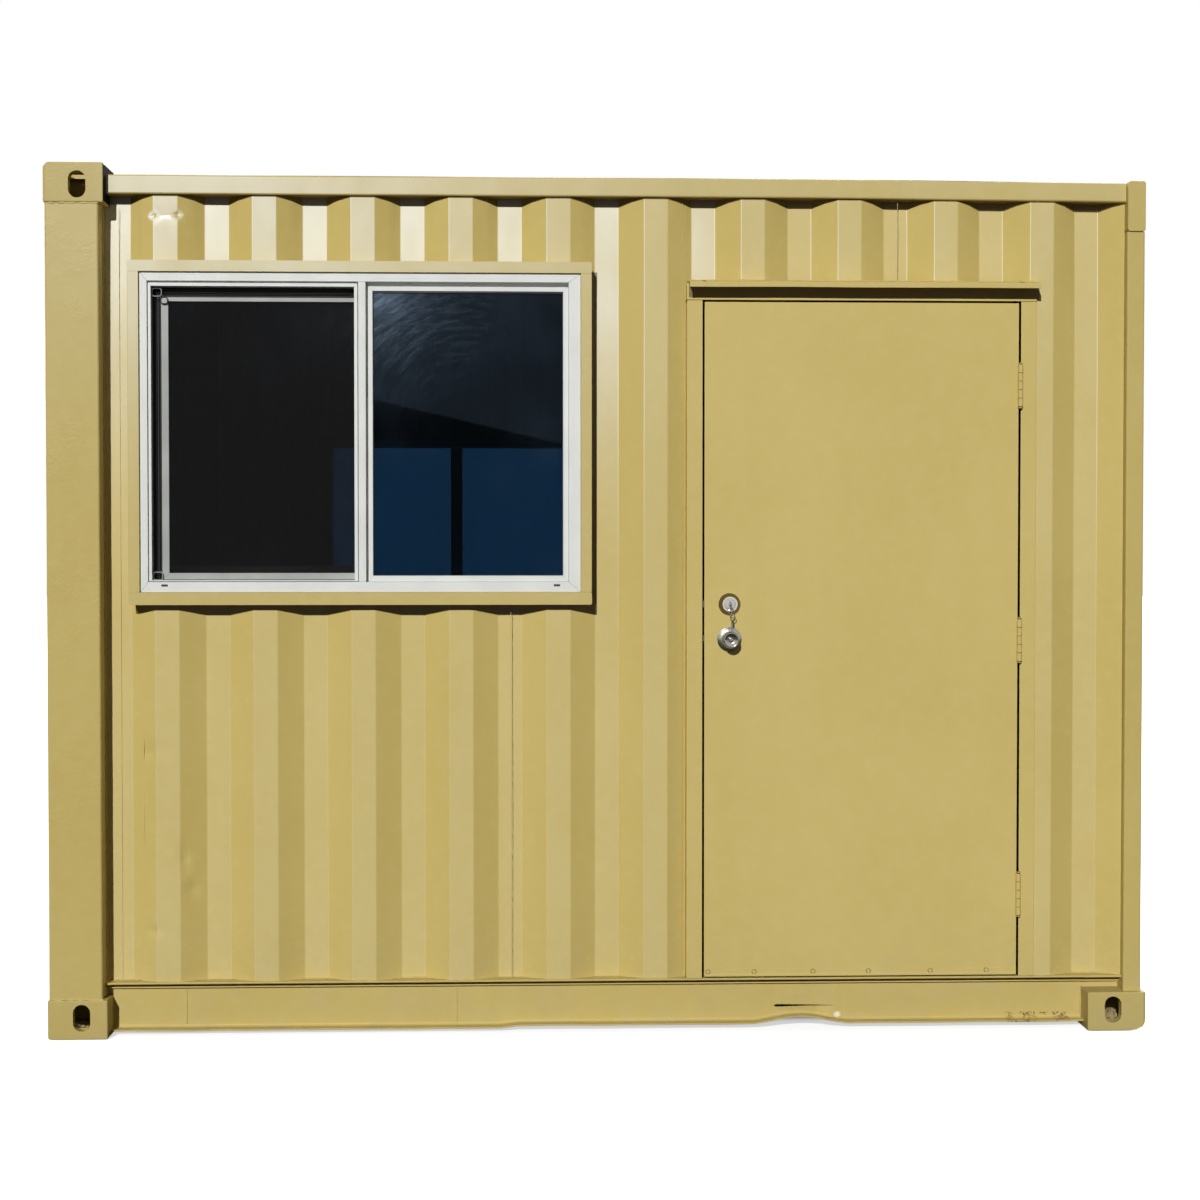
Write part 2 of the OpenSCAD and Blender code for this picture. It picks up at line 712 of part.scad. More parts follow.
module fixed_sash() {
    color(white) site() in_window()
        ring(fixed_x, fixed_x2, fixed_y, fixed_y + sash_d, fixed_z, fixed_top, sash_w, sash_w + 2, sash_foot, sash_w);
}
module insect_screen() {
    color(zinc) site() in_window()
        ring(light_x + screen_left, screen_x2, screen_y, screen_y + screen_t, light_z + seat,
             light_top - screen_top, screen_bar, screen_bar, screen_bar, screen_head);
}
module screen_cloth() {
    color([0.15, 0.16, 0.17]) site() in_window()
        block([light_x + screen_left + screen_bar + seat, screen_y + 3, light_z + screen_bar + 2 * seat],
              [screen_x2 - screen_bar - seat, screen_y + 3 + cloth_t, light_top - screen_top - screen_head - seat]);
}
slider_x2 = mullion_x + mullion_w + sash_gap + sash_w;
module sliding_sash() {
    color([0.12, 0.12, 0.13]) site() in_window()
        ring(light_x + seat, slider_x2, slider_y, slider_y + slider_d, light_z + seat, light_top - seat,
             slider_w, slider_w, slider_w, slider_w);
}
module glass_panes() {
    color("darkslategray", 0.6) site() in_window() {
        block([fixed_x + sash_w + seat, fixed_y + 7, fixed_z + sash_foot + seat],
              [fixed_x2 - sash_w - 2 - seat, fixed_y + 7 + glass_t, fixed_top - sash_w - seat]);
        block([light_x + slider_w + 2 * seat, slider_y + 8, light_z + slider_w + 2 * seat],
              [slider_x2 - slider_w - seat, slider_y + 8 + glass_t, light_top - slider_w - 2 * seat]);
    }
    color("darkslategray", 0.6) site() in_back_window()
        for (x = [[back_face + seat, (back_frame_w - back_mullion) / 2 - seat],
                  [(back_frame_w + back_mullion) / 2 + seat, back_frame_w - back_face - seat]])
            block([x[0], 8, back_face + seat], [x[1], 8 + glass_t, back_frame_h - back_face - seat]);
}

// Door frame: a jamb's section has its door stop on the leaf side
module jamb_section() {
    stop_back = min(stop_y - jamb_inset + stop_d, jamb_d);
    difference() {
        square([jamb_w, jamb_d]);
        translate([jamb_t, jamb_t]) square([jamb_w - 2 * jamb_t, jamb_d - 2 * jamb_t]);
    }
    translate([jamb_w - jamb_t / 2, stop_y - jamb_inset])
        square([stop_w + jamb_t / 2, stop_back - stop_y + jamb_inset]);
}
module jamb_left() {
    color(paint) site() translate([jamb_left_x, jamb_inset, wall_bottom])
        linear_extrude(head_z - seat - wall_bottom) jamb_section();
}
module jamb_right() {
    color(paint) site() translate([jamb_right_x + jamb_w, jamb_inset, wall_bottom])
        linear_extrude(head_z - seat - wall_bottom) mirror([1, 0]) jamb_section();
}
// The head opens into the jambs at its ends
module door_head() {
    length = jamb_right_x + jamb_w - jamb_left_x;
    stop_back = min(stop_y - jamb_inset + stop_d, jamb_d);
    color(paint) site() translate([jamb_left_x, jamb_inset, head_z]) {
        difference() {
            cube([length, jamb_d, jamb_w]);
            block([jamb_t, jamb_t, jamb_t], [length - jamb_t, jamb_d - jamb_t, jamb_w - jamb_t]);
            for (x = [jamb_t, length - jamb_w + jamb_t])
                block([x, jamb_t, -over], [x + jamb_w - 2 * jamb_t, jamb_d - jamb_t, jamb_t + over]);
        }
        block([jamb_w + stop_w + seat, stop_y - jamb_inset, -stop_w],
              [length - jamb_w - stop_w - seat, stop_back, jamb_t / 2]);
    }
}
module drip_cap() {
    cap_top = head_z + jamb_w;
    cap_back = cap_top + cap_rise;
    lip_y = jamb_inset - cap_out;
    foot_y = wall_inset - seat;
    color(paint) site() translate([jamb_left_x - 2, 0, 0]) rotate([90, 0, 90])
        linear_extrude(jamb_right_x + jamb_w - jamb_left_x + 2)
            polygon([[foot_y, cap_back], [lip_y, cap_top], [lip_y, cap_top - cap_h],
                     [lip_y + cap_t, cap_top - cap_h], [lip_y + cap_t, cap_top - cap_t],
                     [foot_y - cap_t, cap_back - cap_t], [foot_y - cap_t, cap_top + seat],
                     [foot_y, cap_top + seat]]);
}

// Door leaf and what it carries
module door_leaf() {
    z1 = leaf_z + closer_drop;
    z2 = leaf_z + leaf_h - closer_drop;
    color(paint) site() difference() {
        block([leaf_x, leaf_inset, leaf_z], [leaf_x + leaf_w, leaf_inset + leaf_t, leaf_z + leaf_h]);
        for (z = [[leaf_z - over, z1], [z1 + skin_t, z2 - skin_t], [z2, leaf_z + leaf_h + over]])
            block([leaf_x + skin_t, leaf_inset + skin_t, z[0]],
                  [leaf_x + leaf_w - skin_t, leaf_inset + leaf_t - skin_t, z[1]]);
        translate([lock_x, leaf_inset - over, floor_z + knob_z]) rotate([-90, 0, 0])
            cylinder(h = leaf_t + 2 * over, r = spindle_r + spindle_play, $fn = 48);
    }
}
module door_sweep() {
    color(paint) site() translate([leaf_x, leaf_inset, leaf_z]) rotate([90, 0, 90]) linear_extrude(leaf_w)
        polygon([[0, 0], [0, sweep_h], [-sweep_t / 2, sweep_h], [-sweep_t / 2, sweep_h / 3], [-sweep_t, sweep_h / 6],
                 [-sweep_t, 0]]);
}
hinge_heights = [hinge_low_z, hinge_mid_z, hinge_high_z];
knuckle_h = hinge_h / knuckles;
// Knuckles and plate of one hinge half; the plate lies at px from the axis
module hinge_half(first, px) {
    for (k = [first : 2 : knuckles - 1])
        translate([0, 0, k * knuckle_h + knuckle_play / 2])
            cylinder(h = knuckle_h - knuckle_play, r = knuckle_r, $fn = 32);
    difference() {
        block([px, 0, 0], [px + plate_t, plate_w, hinge_h]);
        for (k = [1 - first : 2 : knuckles - 1])
            translate([0, 0, k * knuckle_h - (k == 0 ? over : knuckle_play / 2)])
                cylinder(h = knuckle_h + knuckle_play + (k == 0 ? over : 0), r = knuckle_r + knuckle_play, $fn = 32);
    }
}
module at_hinges() {
    for (z = hinge_heights) translate([hinge_x, hinge_y, floor_z + z - hinge_h / 2]) children();
}
module hinge_frame_side() {
    color(paint) site() at_hinges() {
        hinge_half(0, leaf_gap / 2 - plate_t);
        translate([0, 0, knuckle_play]) cylinder(h = hinge_h - 2 * knuckle_play, r = pin_r, $fn = 32);
    }
}
module hinge_door_side() {
    color(paint) site() at_hinges() difference() {
        hinge_half(1, -leaf_gap / 2);
        translate([0, 0, -over]) cylinder(h = hinge_h + 2 * over, r = pin_r + pin_play, $fn = 32);
    }
}
// Turned pieces on the door: the profile runs outwards from the leaf along Z
module outside(z) { translate([lock_x, leaf_inset, floor_z + z]) rotate([90, 0, 0]) children(); }
module inside(z) { translate([lock_x, leaf_inset + leaf_t, floor_z + z]) rotate([-90, 0, 0]) children(); }
module dead_lock() {
    z = knob_z + lock_rise;
    color(zinc) site() {
        outside(z) difference() {
            rotate_extrude($fn = 64) polygon([[0, 0], [collar_r, 0], [collar_r, 4], [plug_r + 1, collar_t - 2],
                                              [plug_r, collar_t], [0, collar_t]]);
            translate([-1.5, -4, collar_t - 6]) cube([3, 8, 7]);
        }
        inside(z) {
            rotate_extrude($fn = 64) polygon([[0, 0], [collar_r, 0], [collar_r - 4, 8], [0, 8]]);
            translate([-4, -17, 7]) cube([8, 34, 19]);
        }
    }
}
module rose() {
    rotate_extrude($fn = 64) polygon([[spindle_r + rose_play, 0], [rose_r, 0], [rose_r - 1, 2.5],
                                      [rose_r - 8, rose_t], [spindle_r + rose_play, rose_t]]);
}
module lock_roses() {
    color(zinc) site() {
        outside(knob_z) rose();
        inside(knob_z) rose();
    }
}
// Knob outline from the neck at the rose to the flat face
module knob() {
    neck = rose_t + 5;
    rotate_extrude($fn = 64) polygon(concat([[0, 0], [spindle_r, 0], [spindle_r, neck], [spindle_r + 3, neck + 2],
                                             [spindle_r + 3, neck + 14], [knob_r - 5, neck + 20]],
                                            [for (i = [0 : 5]) [knob_r - 5 + 5 * sin(i * 18),
                                                                knob_out - 8 - 12 * cos(i * 18)]],
                                            [[knob_r - 2, knob_out - 4], [knob_r - 7, knob_out - 1],
                                             [knob_r - 12, knob_out - 2], [6, knob_out - 3], [5, knob_out],
                                             [0, knob_out]]));
}
module knobs() {
    color(zinc) site() {
        outside(knob_z) knob();
        inside(knob_z) knob();
        translate([lock_x, leaf_inset - over, floor_z + knob_z]) rotate([-90, 0, 0])
            cylinder(h = leaf_t + 2 * over, r = spindle_r, $fn = 32);
    }
}

casting_bottom_front_left();
casting_bottom_back_left();
casting_bottom_front_right();
casting_bottom_back_right();
casting_top_front_left();
casting_top_back_left();
posts_left();
posts_right();
header_left();
header_right();
sill_left();
sill_right();
top_rails();
bottom_rail_front();
bottom_rail_back();
cross_members();
floor_boards();
roof();
wall_front_left();
wall_over_window();
wall_under_window();
wall_front_middle();
wall_over_door();
wall_front_right();
wall_back();
wall_left_end();
wall_right_end();
window_surround();
window_frame();
fixed_sash();
sliding_sash();
glass_panes();
insect_screen();
screen_cloth();
jamb_left();
jamb_right();
door_head();
drip_cap();
door_leaf();
door_sweep();
hinge_frame_side();
hinge_door_side();
dead_lock();
lock_roses();
knobs();
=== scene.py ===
import json
import math
import random

import bmesh
import bpy
from mathutils import Matrix, Vector, noise


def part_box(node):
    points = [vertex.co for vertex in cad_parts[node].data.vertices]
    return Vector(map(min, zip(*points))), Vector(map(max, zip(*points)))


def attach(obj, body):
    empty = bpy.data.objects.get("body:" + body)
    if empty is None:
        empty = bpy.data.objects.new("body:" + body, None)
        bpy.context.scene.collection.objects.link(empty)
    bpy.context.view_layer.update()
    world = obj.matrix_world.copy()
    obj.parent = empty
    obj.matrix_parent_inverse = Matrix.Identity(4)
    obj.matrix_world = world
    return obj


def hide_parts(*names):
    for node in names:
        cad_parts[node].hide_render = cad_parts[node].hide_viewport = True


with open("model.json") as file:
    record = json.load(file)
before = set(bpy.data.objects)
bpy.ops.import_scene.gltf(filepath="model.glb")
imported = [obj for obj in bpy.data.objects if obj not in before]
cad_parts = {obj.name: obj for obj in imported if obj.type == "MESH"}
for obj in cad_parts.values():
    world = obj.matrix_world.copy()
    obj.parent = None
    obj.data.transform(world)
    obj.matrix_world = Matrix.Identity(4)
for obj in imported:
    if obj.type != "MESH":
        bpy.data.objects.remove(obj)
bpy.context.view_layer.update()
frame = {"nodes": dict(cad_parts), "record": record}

# Office container: the finishes, pressings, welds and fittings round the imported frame.
# Lengths are millimetres from the lower left front corner of the castings: X right, Y back, Z up.

MM = 0.001
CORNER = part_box("casting_bottom_front_left")[0]
random.seed(11)


def at(x, y, z):
    """A point given in millimetres, in Blender's metres."""
    return CORNER + Vector((x, y, z)) * MM


def span(node):
    """Lowest and highest corner of a node, in millimetres."""
    lo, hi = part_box(node)
    return (lo - CORNER) / MM, (hi - CORNER) / MM


LENGTH = span("casting_bottom_front_right")[1].x
WIDTH = span("casting_bottom_back_left")[1].y
HEIGHT = span("casting_top_front_left")[1].z
RAIL_TOP = 160.5
# outer size of a corner casting, and the gap left between pieces that meet
CAST_X, CAST_Y, CAST_Z, GAP = 178, 162, 118, 0.3
# the wave of the long walls: a ridge's centre, the pitch, the width of a flat and the depth
CREST, PITCH, FLAT, DEPTH = 350.3, 291.4, 71, 36
# window surrounds: left edge, foot, width and height of each, then the face widths of their bars and foot bar
SURROUND_X, SURROUND_Z, SURROUND_W, SURROUND_H = 244, 1289, 1371, 1018
BACK_X, BACK_Z, BACK_W, BACK_H = 561, 1289, 1140, 652
BAR, FOOT_BAR, SURROUND_DEPTH = 33, 37, 38


# ---- shader writing ----

class Wire:
    """A shader value that takes Python's operators."""

    def __init__(self, recipe, socket):
        self.recipe, self.socket = recipe, socket

    def maths(self, operation, *values):
        return self.recipe.node("Math", {"operation": operation}, dict(enumerate(values)))

    def __add__(self, other):
        return self.maths("ADD", self, other)

    def __sub__(self, other):
        return self.maths("SUBTRACT", self, other)

    def __rsub__(self, other):
        return self.maths("SUBTRACT", other, self)

    def __mul__(self, other):
        return self.maths("MULTIPLY", self, other)

    def __truediv__(self, other):
        return self.maths("DIVIDE", self, other)

    def __pow__(self, other):
        return self.maths("POWER", self, other)

    def __abs__(self):
        return self.maths("ABSOLUTE", self)

    __radd__, __rmul__ = __add__, __mul__

    def clip(self):
        return self.recipe.node("Clamp", {}, {0: self})

    def ramp(self, start, end):
        """0 below start, 1 above end, smooth between; start may be the higher."""
        if start > end:
            return 1 - self.ramp(end, start)
        return self.recipe.node("MapRange", {"interpolation_type": "SMOOTHSTEP"}, {0: self, 1: start, 2: end})

    def over(self, limit):
        return self.maths("GREATER_THAN", self, limit)


class Recipe:
    """A finish in the making."""

    def __init__(self, name, tree=None):
        if tree is None:
            self.material = bpy.data.materials.new(name)
            self.material.use_nodes = True
            tree = self.material.node_tree
        self.tree = tree
        tree.nodes.clear()

    def node(self, kind, settings, sockets, out=0):
        made = self.tree.nodes.new("ShaderNode" + kind)
        for key, value in settings.items():
            setattr(made, key, value)
        for key, value in sockets.items():
            socket = made.inputs[key]
            if isinstance(value, Wire):
                self.tree.links.new(value.socket, socket)
            elif isinstance(value, tuple) and socket.type == "RGBA":
                socket.default_value = (*value, 1)
            else:
                socket.default_value = value
        return Wire(self, made.outputs[out]) if made.outputs else None

    def place(self, stretch=(1, 1, 1)):
        here = self.node("TexCoord", {}, {}, "Object")
        return here if stretch == (1, 1, 1) else self.node("Mapping", {}, {0: here, 3: stretch})

    def axis(self, name):
        return self.node("SeparateXYZ", {}, {0: self.place()}, name)

    def noise(self, size, detail=2.0, stretch=(1, 1, 1), rough=0.5):
        """Even noise from 0 to 1 whose lumps measure about size millimetres."""
        return self.node("TexNoise", {}, {0: self.place(stretch), "Scale": 1 / (size * MM), "Detail": detail,
                                          "Roughness": rough})

    def mix(self, part, one, other):
        return self.node("Mix", {"data_type": "RGBA"}, {0: part, 6: one, 7: other}, 2)

    def bump(self, height, reach):
        return self.node("Bump", {}, {"Height": height, "Distance": reach * MM, "Strength": 1.0})

    def surface(self, **sockets):
        """Ends the finish with one surface shader; underscores in the names stand for blanks."""
        named = {key.replace("_", " "): value for key, value in sockets.items()}
        shader = self.node("BsdfPrincipled", {}, named)
        self.node("OutputMaterial", {}, {0: shader})
        return self.material


# ---- shape writing ----

def soften(points, radius, closed=True, steps=4):
    """An outline with its corners rounded; radius is one number or one for each point."""
    result, count = [], len(points)
    for i, corner in enumerate(points):
        r = radius[i] if isinstance(radius, (list, tuple)) else radius
        if r <= 0 or (not closed and i in (0, count - 1)):
            result.append(tuple(corner))
            continue
        p = Vector(corner)
        a, b = Vector(points[i - 1]) - p, Vector(points[(i + 1) % count]) - p
        turn = math.pi - a.angle(b)
        if turn < 0.02:
            result.append(tuple(p))
            continue
        back = min(r * math.tan(turn / 2), 0.49 * a.length, 0.49 * b.length)
        reach = back / math.tan(turn / 2) / math.cos(turn / 2)
        centre = p + (a.normalized() + b.normalized()).normalized() * reach
        first = p + a.normalized() * back - centre
        way = 1 if a.x * b.y - a.y * b.x < 0 else -1
        for k in range(steps + 1):
            result.append(tuple(centre + Matrix.Rotation(way * turn * k / steps, 2) @ first))
    return result


def divide(points, step):
    """An open line of 2-D points with its long stretches cut into pieces of at most step."""
    result = [tuple(points[0])]
    for a, b in zip(points, points[1:]):
        a, b = Vector(a), Vector(b)
        parts = max(1, math.ceil((b - a).length / step))
        result += [tuple(a.lerp(b, k / parts)) for k in range(1, parts + 1)]
    return result


def stations(start, end, step, dense=()):
    """Values from start to end, step apart, and closer inside the dense (low, high, step) stretches."""
    values = {start, end}
    for low, high, gap in [(start, end, step), *dense]:
        low, high = max(low, start), min(high, end)
        if high > low:
            parts = max(1, round((high - low) / gap))
            values |= {low + (high - low) * k / parts for k in range(parts + 1)}
    kept = []
    for v in sorted(values):
        if not kept or v - kept[-1] > 0.5 or v == end:
            kept.append(v)
    return kept


def rectangle(x0, y0, x1, y1):
    return [(x0, y0), (x1, y0), (x1, y1), (x0, y1)]


def standing(outline, axis, place):
    """An outline at a place along X, Y or Z; its two values are the other two axes in order."""
    result = []
    for p in outline:
        values = list(p)
        values.insert("XYZ".index(axis), place)
        result.append(values)
    return result


class Form:
    """A mesh in the making, in millimetres."""

    def __init__(self):
        self.bm = bmesh.new()

    def loft(self, rings, caps=True, wrap=False, finish=0):
        """Skins a run of closed rings that have the same number of points."""
        rows = [[self.bm.verts.new(p) for p in ring] for ring in rings]
        pairs = list(zip(rows, rows[1:])) + ([(rows[-1], rows[0])] if wrap else [])
        faces = []
        for low, high in pairs:
            for i in range(len(low)):
                j = (i + 1) % len(low)
                faces.append(self.bm.faces.new((low[i], low[j], high[j], high[i])))
        if caps and not wrap:
            faces += [self.bm.faces.new(rows[0][::-1]), self.bm.faces.new(rows[-1])]
        for face in faces:
            face.material_index = finish
        return self

    def prism(self, outline, axis, places, **how):
        """An outline run along X, Y or Z through the given places."""
        return self.loft([standing(outline, axis, place) for place in places], **how)

    def block(self, low, high, radius=1.5, axis="Z", **how):
        """A bar with rounded long edges and small chamfers at its ends."""
        i = "XYZ".index(axis)
        a, b = [k for k in range(3) if k != i]
        outline = rectangle(low[a], low[b], high[a], high[b])
        full = soften(outline, radius, steps=3)
        trim = min(radius * 0.5, (high[i] - low[i]) / 4)
        inner = soften(rectangle(low[a] + trim, low[b] + trim, high[a] - trim, high[b] - trim),
                       max(radius - trim, 0.2), steps=3)
        lines = ((low[i], inner), (low[i] + trim, full), (high[i] - trim, full), (high[i], inner))
        return self.loft([standing(line, axis, place) for place, line in lines], **how)

    def lathe(self, profile, centre, axis="Y", sides=48, **how):
        """A turned piece: profile is (radius, distance along the axis) pairs from end to end."""
        turns = [2 * math.pi * k / sides for k in range(sides)]
        rings = []
        for radius, along in profile:
            circle = [(max(radius, 0.02) * math.cos(t), max(radius, 0.02) * math.sin(t)) for t in turns]
            rings.append([Vector(p) + Vector(centre) for p in standing(circle, axis, along)])
        return self.loft(rings, **how)

    def pipe(self, path, radius, sides=8, squash=1.0, wrap=False, **how):
        """A round bar along a path of points; radius may be a function of the point's number."""
        path = [Vector(p) for p in path]
        rings, side = [], None
        for i, p in enumerate(path):
            ahead = path[(i + 1) % len(path)] if wrap or i + 1 < len(path) else p
            behind = path[i - 1] if wrap or i else p
            way = (ahead - behind).normalized()
            if side is None:
                side = way.orthogonal().normalized()
            side = (side - way * side.dot(way)).normalized()
            up = way.cross(side)
            r = radius(i) if callable(radius) else radius
            rings.append([p + side * r * math.cos(t) + up * r * squash * math.sin(t)
                          for t in (2 * math.pi * k / sides for k in range(sides))])
        return self.loft(rings, wrap=wrap, **how)

    def warp(self, move):
        """Moves every point by what move(point) gives, in millimetres."""
        for v in self.bm.verts:
            v.co += Vector(move(v.co))
        return self

    def to_back(self):
        """Mirrors a front piece to the back wall."""
        for v in self.bm.verts:
            v.co.y = WIDTH - v.co.y
        return self

    def join(self, other):
        """Takes another form in as it is."""
        mesh = bpy.data.meshes.new("part")
        other.bm.to_mesh(mesh)
        self.bm.from_mesh(mesh)
        return self

    def cut(self, other):
        """Takes another form away from this one."""
        own, tool = self.object("own"), other.object("tool")
        modifier = own.modifiers.new("cut", "BOOLEAN")
        modifier.operation, modifier.solver, modifier.object = "DIFFERENCE", "EXACT", tool
        cut_mesh = bpy.data.meshes.new_from_object(own.evaluated_get(bpy.context.evaluated_depsgraph_get()))
        self.bm = bmesh.new()
        self.bm.from_mesh(cut_mesh)
        for thing in (own, tool):
            bpy.data.objects.remove(thing)
        return self

    def object(self, name):
        bmesh.ops.recalc_face_normals(self.bm, faces=self.bm.faces)
        mesh = bpy.data.meshes.new(name)
        self.bm.to_mesh(mesh)
        self.bm.free()
        thing = bpy.data.objects.new(name, mesh)
        bpy.context.scene.collection.objects.link(thing)
        return thing

    def make(self, name, finishes, body="container", stands_for=(), slot="paint", bevel=0.0, angle=32,
             turns=2):
        """Ends the mesh: moves it into place, gives it its finishes and puts it on its body."""
        self.bm.transform(Matrix.Translation(CORNER) @ Matrix.Scale(MM, 4))
        thing = self.object(name)
        for finish in finishes if isinstance(finishes, (list, tuple)) else [finishes]:
            thing.data.materials.append(finish)
        thing.data.shade_smooth()
        thing.data.set_sharp_from_angle(angle=math.radians(angle))
        if bevel:
            edge = thing.modifiers.new("edges", "BEVEL")
            edge.width, edge.segments, edge.limit_method = bevel * MM, turns, "ANGLE"
            edge.angle_limit = math.radians(angle)
        thing.modifiers.new("faces", "WEIGHTED_NORMAL").keep_sharp = True
        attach(thing, body)
        if stands_for:
            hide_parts(*stands_for)
        return thing


# ---- finishes ----

CREAM = (0.535, 0.422, 0.142)
CREAM_DEEP = (0.50, 0.386, 0.118)
CREAM_PALE = (0.56, 0.452, 0.175)
# pale colour of the painted glare, which stands in for sun glare on the paint
GLARE_PALE = (0.80, 0.77, 0.62)
SCALE_BROWN = (0.040, 0.020, 0.010)
RUST = (0.155, 0.060, 0.022)
DUST = (0.42, 0.36, 0.22)
# colour of the painted shadow under ledges
SHADOW_BROWN = (0.06, 0.022, 0.001)
# colour of the painted shade in the door's joints
JOINT_SHADE_BLACK = (0.012, 0.006, 0.002)
# colour of a painted highlight spot
HIGHLIGHT_WHITE = (0.95, 0.93, 0.82)


def painted_glare(r, troughs, ridges, flats):
    """Painted glare: pale paint that stands in for sun glare on the front-facing faces, most on the upper part
    of the long side.

    What lies back, what stands out and the flats each have an amount, and a painted highlight runs along the
    sheets' bends.
    """
    normal = r.node("NewGeometry", {}, {}, "Normal")
    across, out = (r.node("SeparateXYZ", {}, {0: normal}, name) for name in "XY")
    facing = (0 - out).ramp(0.94, 0.99)
    lying_back = r.axis("Y").ramp(at(0, 56, 0).y, at(0, 78, 0).y)
    along = r.axis("X")
    back_part = (along.ramp(0.62, 0.02) * 0.93 + 0.07) * lying_back * troughs
    front_part = (along.ramp(0.6, -1.5) * 0.9 + 0.1) * (1 - lying_back) * ridges
    end_strip = along.ramp(at(130, 0, 0).x, at(205, 0, 0).x) * 0.55 + 0.45
    patches = r.noise(150, 3.0, (1, 1, 0.5)).ramp(0.15, 0.75) * 0.45 + 0.65
    rise = r.axis("Z").ramp(1.1, 2.5)
    # painted highlight: a pale line along each bend that faces the light
    painted_highlight = 0.0
    if flats > 0.08:
        painted_highlight = (1 - abs(across + 0.17) * 8).clip() * (0 - out).over(0.9) * (rise * 1.5 + 0.12).clip() * 0.85
    upper = (back_part + front_part) * rise * rise * end_strip
    return (upper * facing * patches + facing * patches * flats + painted_highlight).clip()


def joint_painted_shade(r, joints):
    """Painted shade on the faces that line the narrow joints round a door, darkening the gaps: joints are
    (axis, place) pairs.
    """
    out = abs(r.node("SeparateXYZ", {}, {0: r.node("NewGeometry", {}, {}, "Normal")}, "Y"))
    gap_shade = 0.0
    for name, place in joints:
        here = at(place, 0, 0).x if name == "X" else at(0, 0, place).z
        gap_shade = (1 - abs(r.axis(name) - here).over(4.4 * MM)) + gap_shade
    return gap_shade.clip() * out.ramp(0.85, 0.5)


def ledge_painted_shadow(r):
    """Painted shadow below the window surround, the drip cap and the top rail, and right of the surround, laid
    where the key lamp's shadow falls.
    """
    x, y, z = (r.axis(name) for name in "XYZ")
    painted_shadow = 0.0
    for node, ends in (("window_surround", 8), ("drip_cap", 8), ("top_rails", 0)):
        low, high = span(node)
        if node == "window_surround":
            high.x = SURROUND_X + SURROUND_W + 1
        low, high = at(*low), at(*high)
        behind = y - low.y
        along = x.over(low.x + ends * MM) * (1 - x.over(high.x + 10 * MM))
        under = (z - low.z + behind * 0.42).ramp(-1 * MM, 1 * MM) * (1 - z.over(low.z + 12 * MM))
        near = behind.over(4 * MM) * (1 - behind.over(95 * MM))
        painted_shadow = painted_shadow + under * along * near
        if node == "window_surround":
            side = (high.x - x + behind * 0.22).ramp(-1 * MM, 1 * MM) * x.over(high.x - 4 * MM)
            painted_shadow = painted_shadow + side * z.over(low.z) * (1 - z.over(high.z - 20 * MM)) * near
    return painted_shadow.clip()


def enamel(name, lump, lump_height, orange, rough, tone, glare_amounts, peel=5.5, patchy=(0.3, 0.7), chips=None,
           joints=(), painted_highlight=None):
    """Sprayed enamel over old steel: faint cloudiness, orange peel, dust low down, and chips inside a box; with
    painted glare, a painted highlight spot where asked, painted shadow under ledges and painted shade in the
    door's joints.
    """
    r = Recipe(name)
    cream, deep, pale = (tuple(c * tone for c in colour) for colour in (CREAM, CREAM_DEEP, CREAM_PALE))
    height = r.axis("Z")
    clouds = r.noise(420, 3.0).ramp(0.3, 0.7)
    mottle = r.noise(34, 4.0, rough=0.6).ramp(0.35, 0.75)
    runs = r.noise(60, 3.0, (1, 1, 0.12)).ramp(0.45, 0.75)
    colour = r.mix(clouds * 0.55, cream, deep)
    colour = r.mix(mottle * 0.35, colour, pale)
    colour = r.mix(runs * 0.16, colour, deep)
    dust = height.ramp(0.42, 0.0) * r.noise(90, 4.0, rough=0.65).ramp(0.35, 0.8)
    colour = r.mix(dust * 0.30, colour, DUST)
    # painted glare: paler on the upper parts and on the front-facing flats
    colour = r.mix(painted_glare(r, *glare_amounts), colour, GLARE_PALE)
    # a painted highlight spot: centre, and half its width and height in millimetres
    if painted_highlight:
        spot, along, up = painted_highlight
        aside, above = (r.axis("X") - spot.x) / (along * MM), (height - spot.z) / (up * MM)
        colour = r.mix((aside * aside + above * above).ramp(1.0, 0.0) * 0.65, colour, HIGHLIGHT_WHITE)
    # painted shadow under the ledges
    colour = r.mix(ledge_painted_shadow(r) * 0.7, colour, SHADOW_BROWN)
    # painted shade in the door's joints
    if joints:
        colour = r.mix(joint_painted_shade(r, joints), colour, JOINT_SHADE_BLACK)
    shine = rough + mottle * 0.06 + dust * 0.18
    relief = r.noise(peel, 1.5) * orange + r.noise(lump, 3.0) * lump_height * r.noise(180, 2.0).ramp(*patchy)
    if chips:
        low, high = chips
        inside = 1.0
        for k, name_of in enumerate("XYZ"):
            place = r.axis(name_of)
            inside = place.over(low[k]) * (1 - place.over(high[k])) * inside
        edge = abs(r.noise(17, 3.0, (1, 1, 1.3), 0.6) - 0.52)
        flakes = edge.ramp(0.026, 0.012) * r.noise(40, 2.0).ramp(0.44, 0.52) * inside
        colour = r.mix(flakes, colour, r.mix(r.noise(6, 2.0).ramp(0.4, 0.6), SCALE_BROWN, RUST))
        shine = shine + flakes * 0.3
        relief = relief - flakes * 0.5
    return r.surface(Base_Color=colour, Roughness=shine, Normal=r.bump(relief, 1.0), Specular_IOR_Level=0.12)


def plain(name, colour, rough, grain=0.0, size=3.0, metallic=0.0, vary=0.06, **constants):
    """A finish with slight cloudiness and a fine grain."""
    r = Recipe(name)
    cloud = r.noise(120, 3.0).ramp(0.3, 0.7)
    fine = r.noise(size * 3, 3.0)
    tone = r.mix(cloud * vary * 6, colour, tuple(c * 0.8 for c in colour))
    return r.surface(Base_Color=tone, Roughness=cloud * 0.08 + rough, Metallic=metallic,
                     Normal=r.bump(fine * grain, 1.0), **constants)


